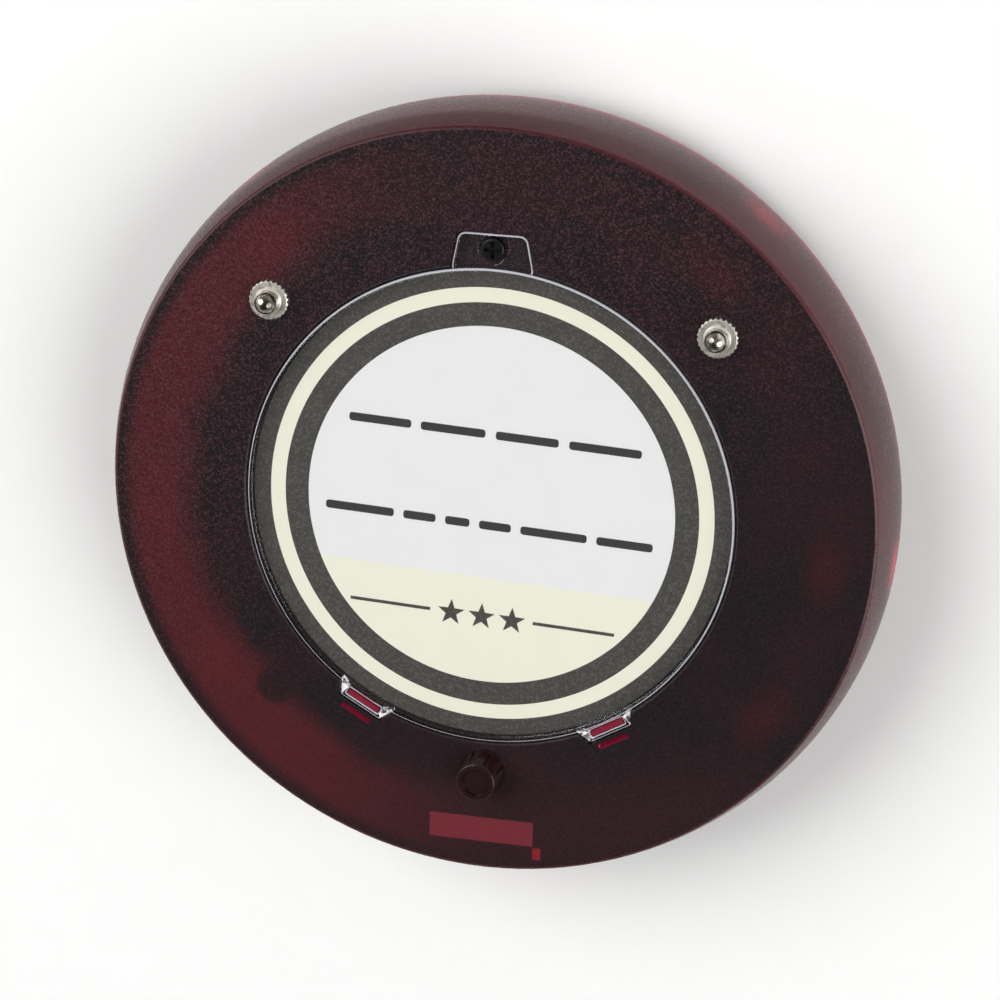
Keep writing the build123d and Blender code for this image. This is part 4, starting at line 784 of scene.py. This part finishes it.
# outlines in millimetres: the tab towards +Y, and a loop and its hole towards +X, which are turned into place
TAB = ((-5.6, 31.6), (5.6, 31.6), (4.5, 37.3), (-4.5, 37.3))
TAB_CORNER, TAB_LOW, TAB_TOP, TAB_EDGE = 1.2 * MM, 14.25 * MM, 15.55 * MM, 0.2 * MM
TAB_START_Y, TAB_END_Y = 31 * MM, 37.05 * MM
TAB_HOLE_RADIUS, TAB_HOLE_Y = 1.85 * MM, 35.2 * MM
LOOP = ((31.9, -4.4), (34.5, -3.1), (34.5, 3.1), (31.9, 4.4))
LOOP_HOLE = ((32.95, -2.55), (33.95, -2.55), (33.95, 2.55), (32.95, 2.55))
LOOP_CORNER, LOOP_HOLE_CORNER = 0.35 * MM, 0.15 * MM
LOOP_LOW, LOOP_TOP, LOOP_EDGE = 14.25 * MM, 15.35 * MM, 0.16 * MM
LOOP_THICK_END, LOOP_HALF = 2.9 * MM, 5 * MM  # between these, across the loop, its ends break up the light
BEVEL_NORMAL_Z = (0.05, 0.97)  # of the faces on the upper bevels
PANE, HIGHLIGHT_EDGE, THICK_END = 0, 1, 2  # material numbers


def cover_look(at, normal):
    """Material number of a face of the cover with its centre at this place."""
    far = Vector((at.x, at.y)).length
    upward = BEVEL_NORMAL_Z[0] < normal.z < BEVEL_NORMAL_Z[1]
    if at.z > COVER_TOP - 0.8 * COVER_EDGE and far > COVER_RADIUS - 0.55 * COVER_EDGE:
        return HIGHLIGHT_EDGE
    if at.y > TAB_START_Y:
        from_screw = Vector((at.x, at.y - TAB_HOLE_Y)).length
        on_rim = from_screw > TAB_HOLE_RADIUS + 0.25 * MM or at.y > TAB_END_Y
        return HIGHLIGHT_EDGE if upward and on_rim and far > COVER_RADIUS + 0.05 * MM else PANE
    for angle in CLIP_ANGLES:
        turn = radians(angle)
        out = at.x * cos(turn) + at.y * sin(turn)
        across = abs(at.y * cos(turn) - at.x * sin(turn))
        if out > COVER_RADIUS + 0.1 * MM and across < LOOP_HALF:
            if across > LOOP_THICK_END:
                return THICK_END
            return HIGHLIGHT_EDGE if upward else PANE
    return PANE


def add_cover():
    """The clear disc with its screw tab and two loops, with edges painted bright as highlights."""
    parts = [plate([circle((0, 0), COVER_RADIUS, COVER_SIDES)], COVER_UNDER, COVER_TOP, COVER_EDGE)]
    tab = bent_outline([Vector((x * MM, y * MM)) for x, y in TAB], TAB_CORNER)
    screw_hole = circle((0, TAB_HOLE_Y), TAB_HOLE_RADIUS, 40)
    parts.append(plate([tab, screw_hole[::-1]], TAB_LOW, TAB_TOP, TAB_EDGE))
    for angle in CLIP_ANGLES:
        turn = Matrix.Rotation(radians(angle), 2)
        rim = bent_outline([turn @ (Vector(corner) * MM) for corner in LOOP], LOOP_CORNER, 4)
        hole = bent_outline([turn @ (Vector(corner) * MM) for corner in LOOP_HOLE], LOOP_HOLE_CORNER, 3)
        parts.append(plate([rim, hole[::-1]], LOOP_LOW, LOOP_TOP, LOOP_EDGE))
    plastics = ("clear_plastic", "clear_edge_highlight", "clear_glint")
    add_piece("cover_clear", joined("cover_clear", parts, cover_look), plastics, "label_cover_body",
              "clear_plastic", "label_cover")


# ---------------------------------------------------------------- lit digit
DIGIT_LEAN = 0.14  # how far the digit leans over for its height
LIT_HALF, LIT_GAP, LIT_EDGE = 0.42 * MM, 0.17 * MM, 0.02 * MM  # a lit bar: half its thickness, gap, bevel


def add_digit():
    """The lit bars of the figure 2, each with pointed ends and a dark gap to the next."""
    low, high = (Vector(c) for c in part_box("digit_segments_lit"))
    middle = (low + high) / 2
    half_z = (high.z - low.z) / 2 - LIT_HALF
    half_x = (high.x - low.x) / 2 - LIT_HALF - DIGIT_LEAN * half_z
    bars = (  # centre, half length, and whether the bar lies flat
        (0, half_z, half_x, True),
        (half_x, half_z / 2, half_z / 2, False),
        (0, 0, half_x, True),
        (-half_x, -half_z / 2, half_z / 2, False),
        (0, -half_z, half_x, True),
    )
    parts = []
    for across, up, half_length, flat in bars:
        reach = half_length - LIT_GAP
        tip = reach - LIT_HALF
        outline = [(reach, 0), (tip, LIT_HALF), (-tip, LIT_HALF), (-reach, 0), (-tip, -LIT_HALF),
                   (tip, -LIT_HALF)]
        if not flat:
            outline = [(-z, x) for x, z in outline]
        outline = [Vector((across + x + DIGIT_LEAN * (up + z), up + z)) for x, z in outline]
        parts.append(plate([outline], 0.0, high.y - low.y, LIT_EDGE))
    mesh = joined("digit_lit", parts)
    mesh.transform(Matrix.Translation((middle.x, high.y, middle.z)) @ Matrix.Rotation(pi / 2, 4, "X"))
    add_piece("digit_lit", mesh, ("segment_lit",), "case", "segment_lit", "digit_segments_lit")


# ---------------------------------------------------------------- contact springs
SPRING_WIRE = 0.17 * MM
SPRING_TURNS = 4.0
END_TURNS = 0.6  # these lie closed at each end of the coil


def coil(low, high):
    """Mesh of a compression spring with closed ends that fills the box from low to high."""
    along, around = 40, 14
    radius = (high.x - low.x) / 2 - SPRING_WIRE
    closed_rise = 2 * SPRING_WIRE
    free_height = high.z - low.z - 2 * SPRING_WIRE - 2 * END_TURNS * closed_rise
    free_rise = free_height / (SPRING_TURNS - 2 * END_TURNS)
    foot = Vector(((low.x + high.x) / 2, (low.y + high.y) / 2, low.z + SPRING_WIRE))
    work = bmesh.new()
    loops = []
    for k in range(int(SPRING_TURNS * along) + 1):
        turns = k / along
        closed = min(turns, END_TURNS) + max(turns - SPRING_TURNS + END_TURNS, 0)
        rise = closed * closed_rise + (turns - closed) * free_rise
        outward = Vector((cos(tau * turns), sin(tau * turns), 0))
        centre = foot + outward * radius + Vector((0, 0, rise))
        loops.append([work.verts.new(centre + outward * SPRING_WIRE * cos(tau * n / around)
                                     + Vector((0, 0, SPRING_WIRE * sin(tau * n / around))))
                      for n in range(around)])
    for first, second in zip(loops, loops[1:]):
        for n in range(around):
            m = (n + 1) % around
            work.faces.new((first[n], second[n], second[m], first[m]))
    for end in (loops[0], loops[-1][::-1]):
        work.faces.new(end)
    bmesh.ops.recalc_face_normals(work, faces=work.faces)
    for face in work.faces:
        face.smooth = len(face.verts) == 4
    mesh = bpy.data.meshes.new("coil")
    work.to_mesh(mesh)
    work.free()
    return mesh


def add_springs():
    """The springs behind the two contacts, as coils at rest that fill their nodes' boxes; in the pager they
    shorten as their plungers are pressed.
    """
    for side in ("left", "right"):
        low, high = (Vector(c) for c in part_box(f"contact_spring_{side}"))
        spring = add_piece(f"spring_coil_{side}", coil(low, high), ("zinc_steel",), "case", "zinc_steel",
                           f"contact_spring_{side}")
        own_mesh(spring)


# ---------------------------------------------------------------- floor and light
FLOOR_HALF = 3.0
FLOOR_Z = -0.15 * MM  # just clear of the underside, so that the two faces don't lie in one plane
ROOM_AROUND, ROOM_ABOVE, ROOM_FRONT = 0.85, 0.16, 0.4
LIGHTS = (("key", (-0.7, 0.4, 0.8), 9.3), ("fill", (0.8, -0.2, 0.75), 7.8))  # name, place and power in watts
LIGHT_ACROSS = 1.0


def add_floor():
    """A wide pale floor."""
    mesh = bpy.data.meshes.new("floor")
    corners = [(x * FLOOR_HALF, y * FLOOR_HALF, FLOOR_Z) for x, y in ((-1, -1), (1, -1), (1, 1), (-1, 1))]
    mesh.from_pydata(corners, [], [(0, 1, 2, 3)])
    floor = bpy.data.objects.new("floor", mesh)
    bpy.context.scene.collection.objects.link(floor)
    paint = plain("floor_paint", srgb(250, 250, 249), 0.7, change=0.005, depth=0.0)
    # painted light: far from the lights the floor glows more, so that it fades into the bright room
    x, y, _ = paint.axes()
    paint.main.inputs["Emission Color"].default_value = (1, 1, 1, 1)
    far = paint.step(paint.length(x, y), 0.3, 1.6, 0.0, 0.6)
    paint.link(far, paint.main.inputs["Emission Strength"])
    mesh.materials.append(paint.material)


def fading(tree, source, low, high, out_low, out_high):
    """A smooth step of a socket in the world's node tree."""
    node = tree.nodes.new("ShaderNodeMapRange")
    node.interpolation_type = "SMOOTHSTEP"
    tree.links.new(source, node.inputs["Value"])
    for socket, value in (("From Min", low), ("From Max", high), ("To Min", out_low), ("To Max", out_high)):
        node.inputs[socket].default_value = value
    return node.outputs[0]


def add_room():
    """A room that is bright around, dim overhead, and darker in front of the window, as dark glass needs."""
    world = bpy.data.worlds.new("studio")
    bpy.context.scene.world = world
    world.use_nodes = True
    tree = world.node_tree
    background = tree.nodes["Background"]
    background.inputs["Color"].default_value = (1, 1, 1, 1)
    split = tree.nodes.new("ShaderNodeSeparateXYZ")
    tree.links.new(tree.nodes.new("ShaderNodeTexCoord").outputs["Generated"], split.inputs[0])
    level = tree.nodes.new("ShaderNodeMath")
    level.operation = "MULTIPLY"
    tree.links.new(fading(tree, split.outputs[2], 0.1, 0.85, ROOM_AROUND, ROOM_ABOVE), level.inputs[0])
    tree.links.new(fading(tree, split.outputs[1], -0.95, -0.1, ROOM_FRONT, 1.0), level.inputs[1])
    tree.links.new(level.outputs[0], background.inputs["Strength"])
    bpy.context.scene.view_settings.view_transform = "Standard"


def add_lights():
    """Two soft discs of light."""
    for name, at, power in LIGHTS:
        data = bpy.data.lights.new(name, "AREA")
        data.shape = "DISK"
        data.size = LIGHT_ACROSS
        data.energy = power
        light = bpy.data.objects.new(name, data)
        light.location = at
        light.rotation_euler = (-Vector(at)).to_track_quat("-Z", "Y").to_euler()
        bpy.context.scene.collection.objects.link(light)


MATERIALS = build_materials()
add_camera()
add_floor()
add_room()
add_lights()
dress_nodes()
add_label()
add_cover()
add_digit()
add_springs()
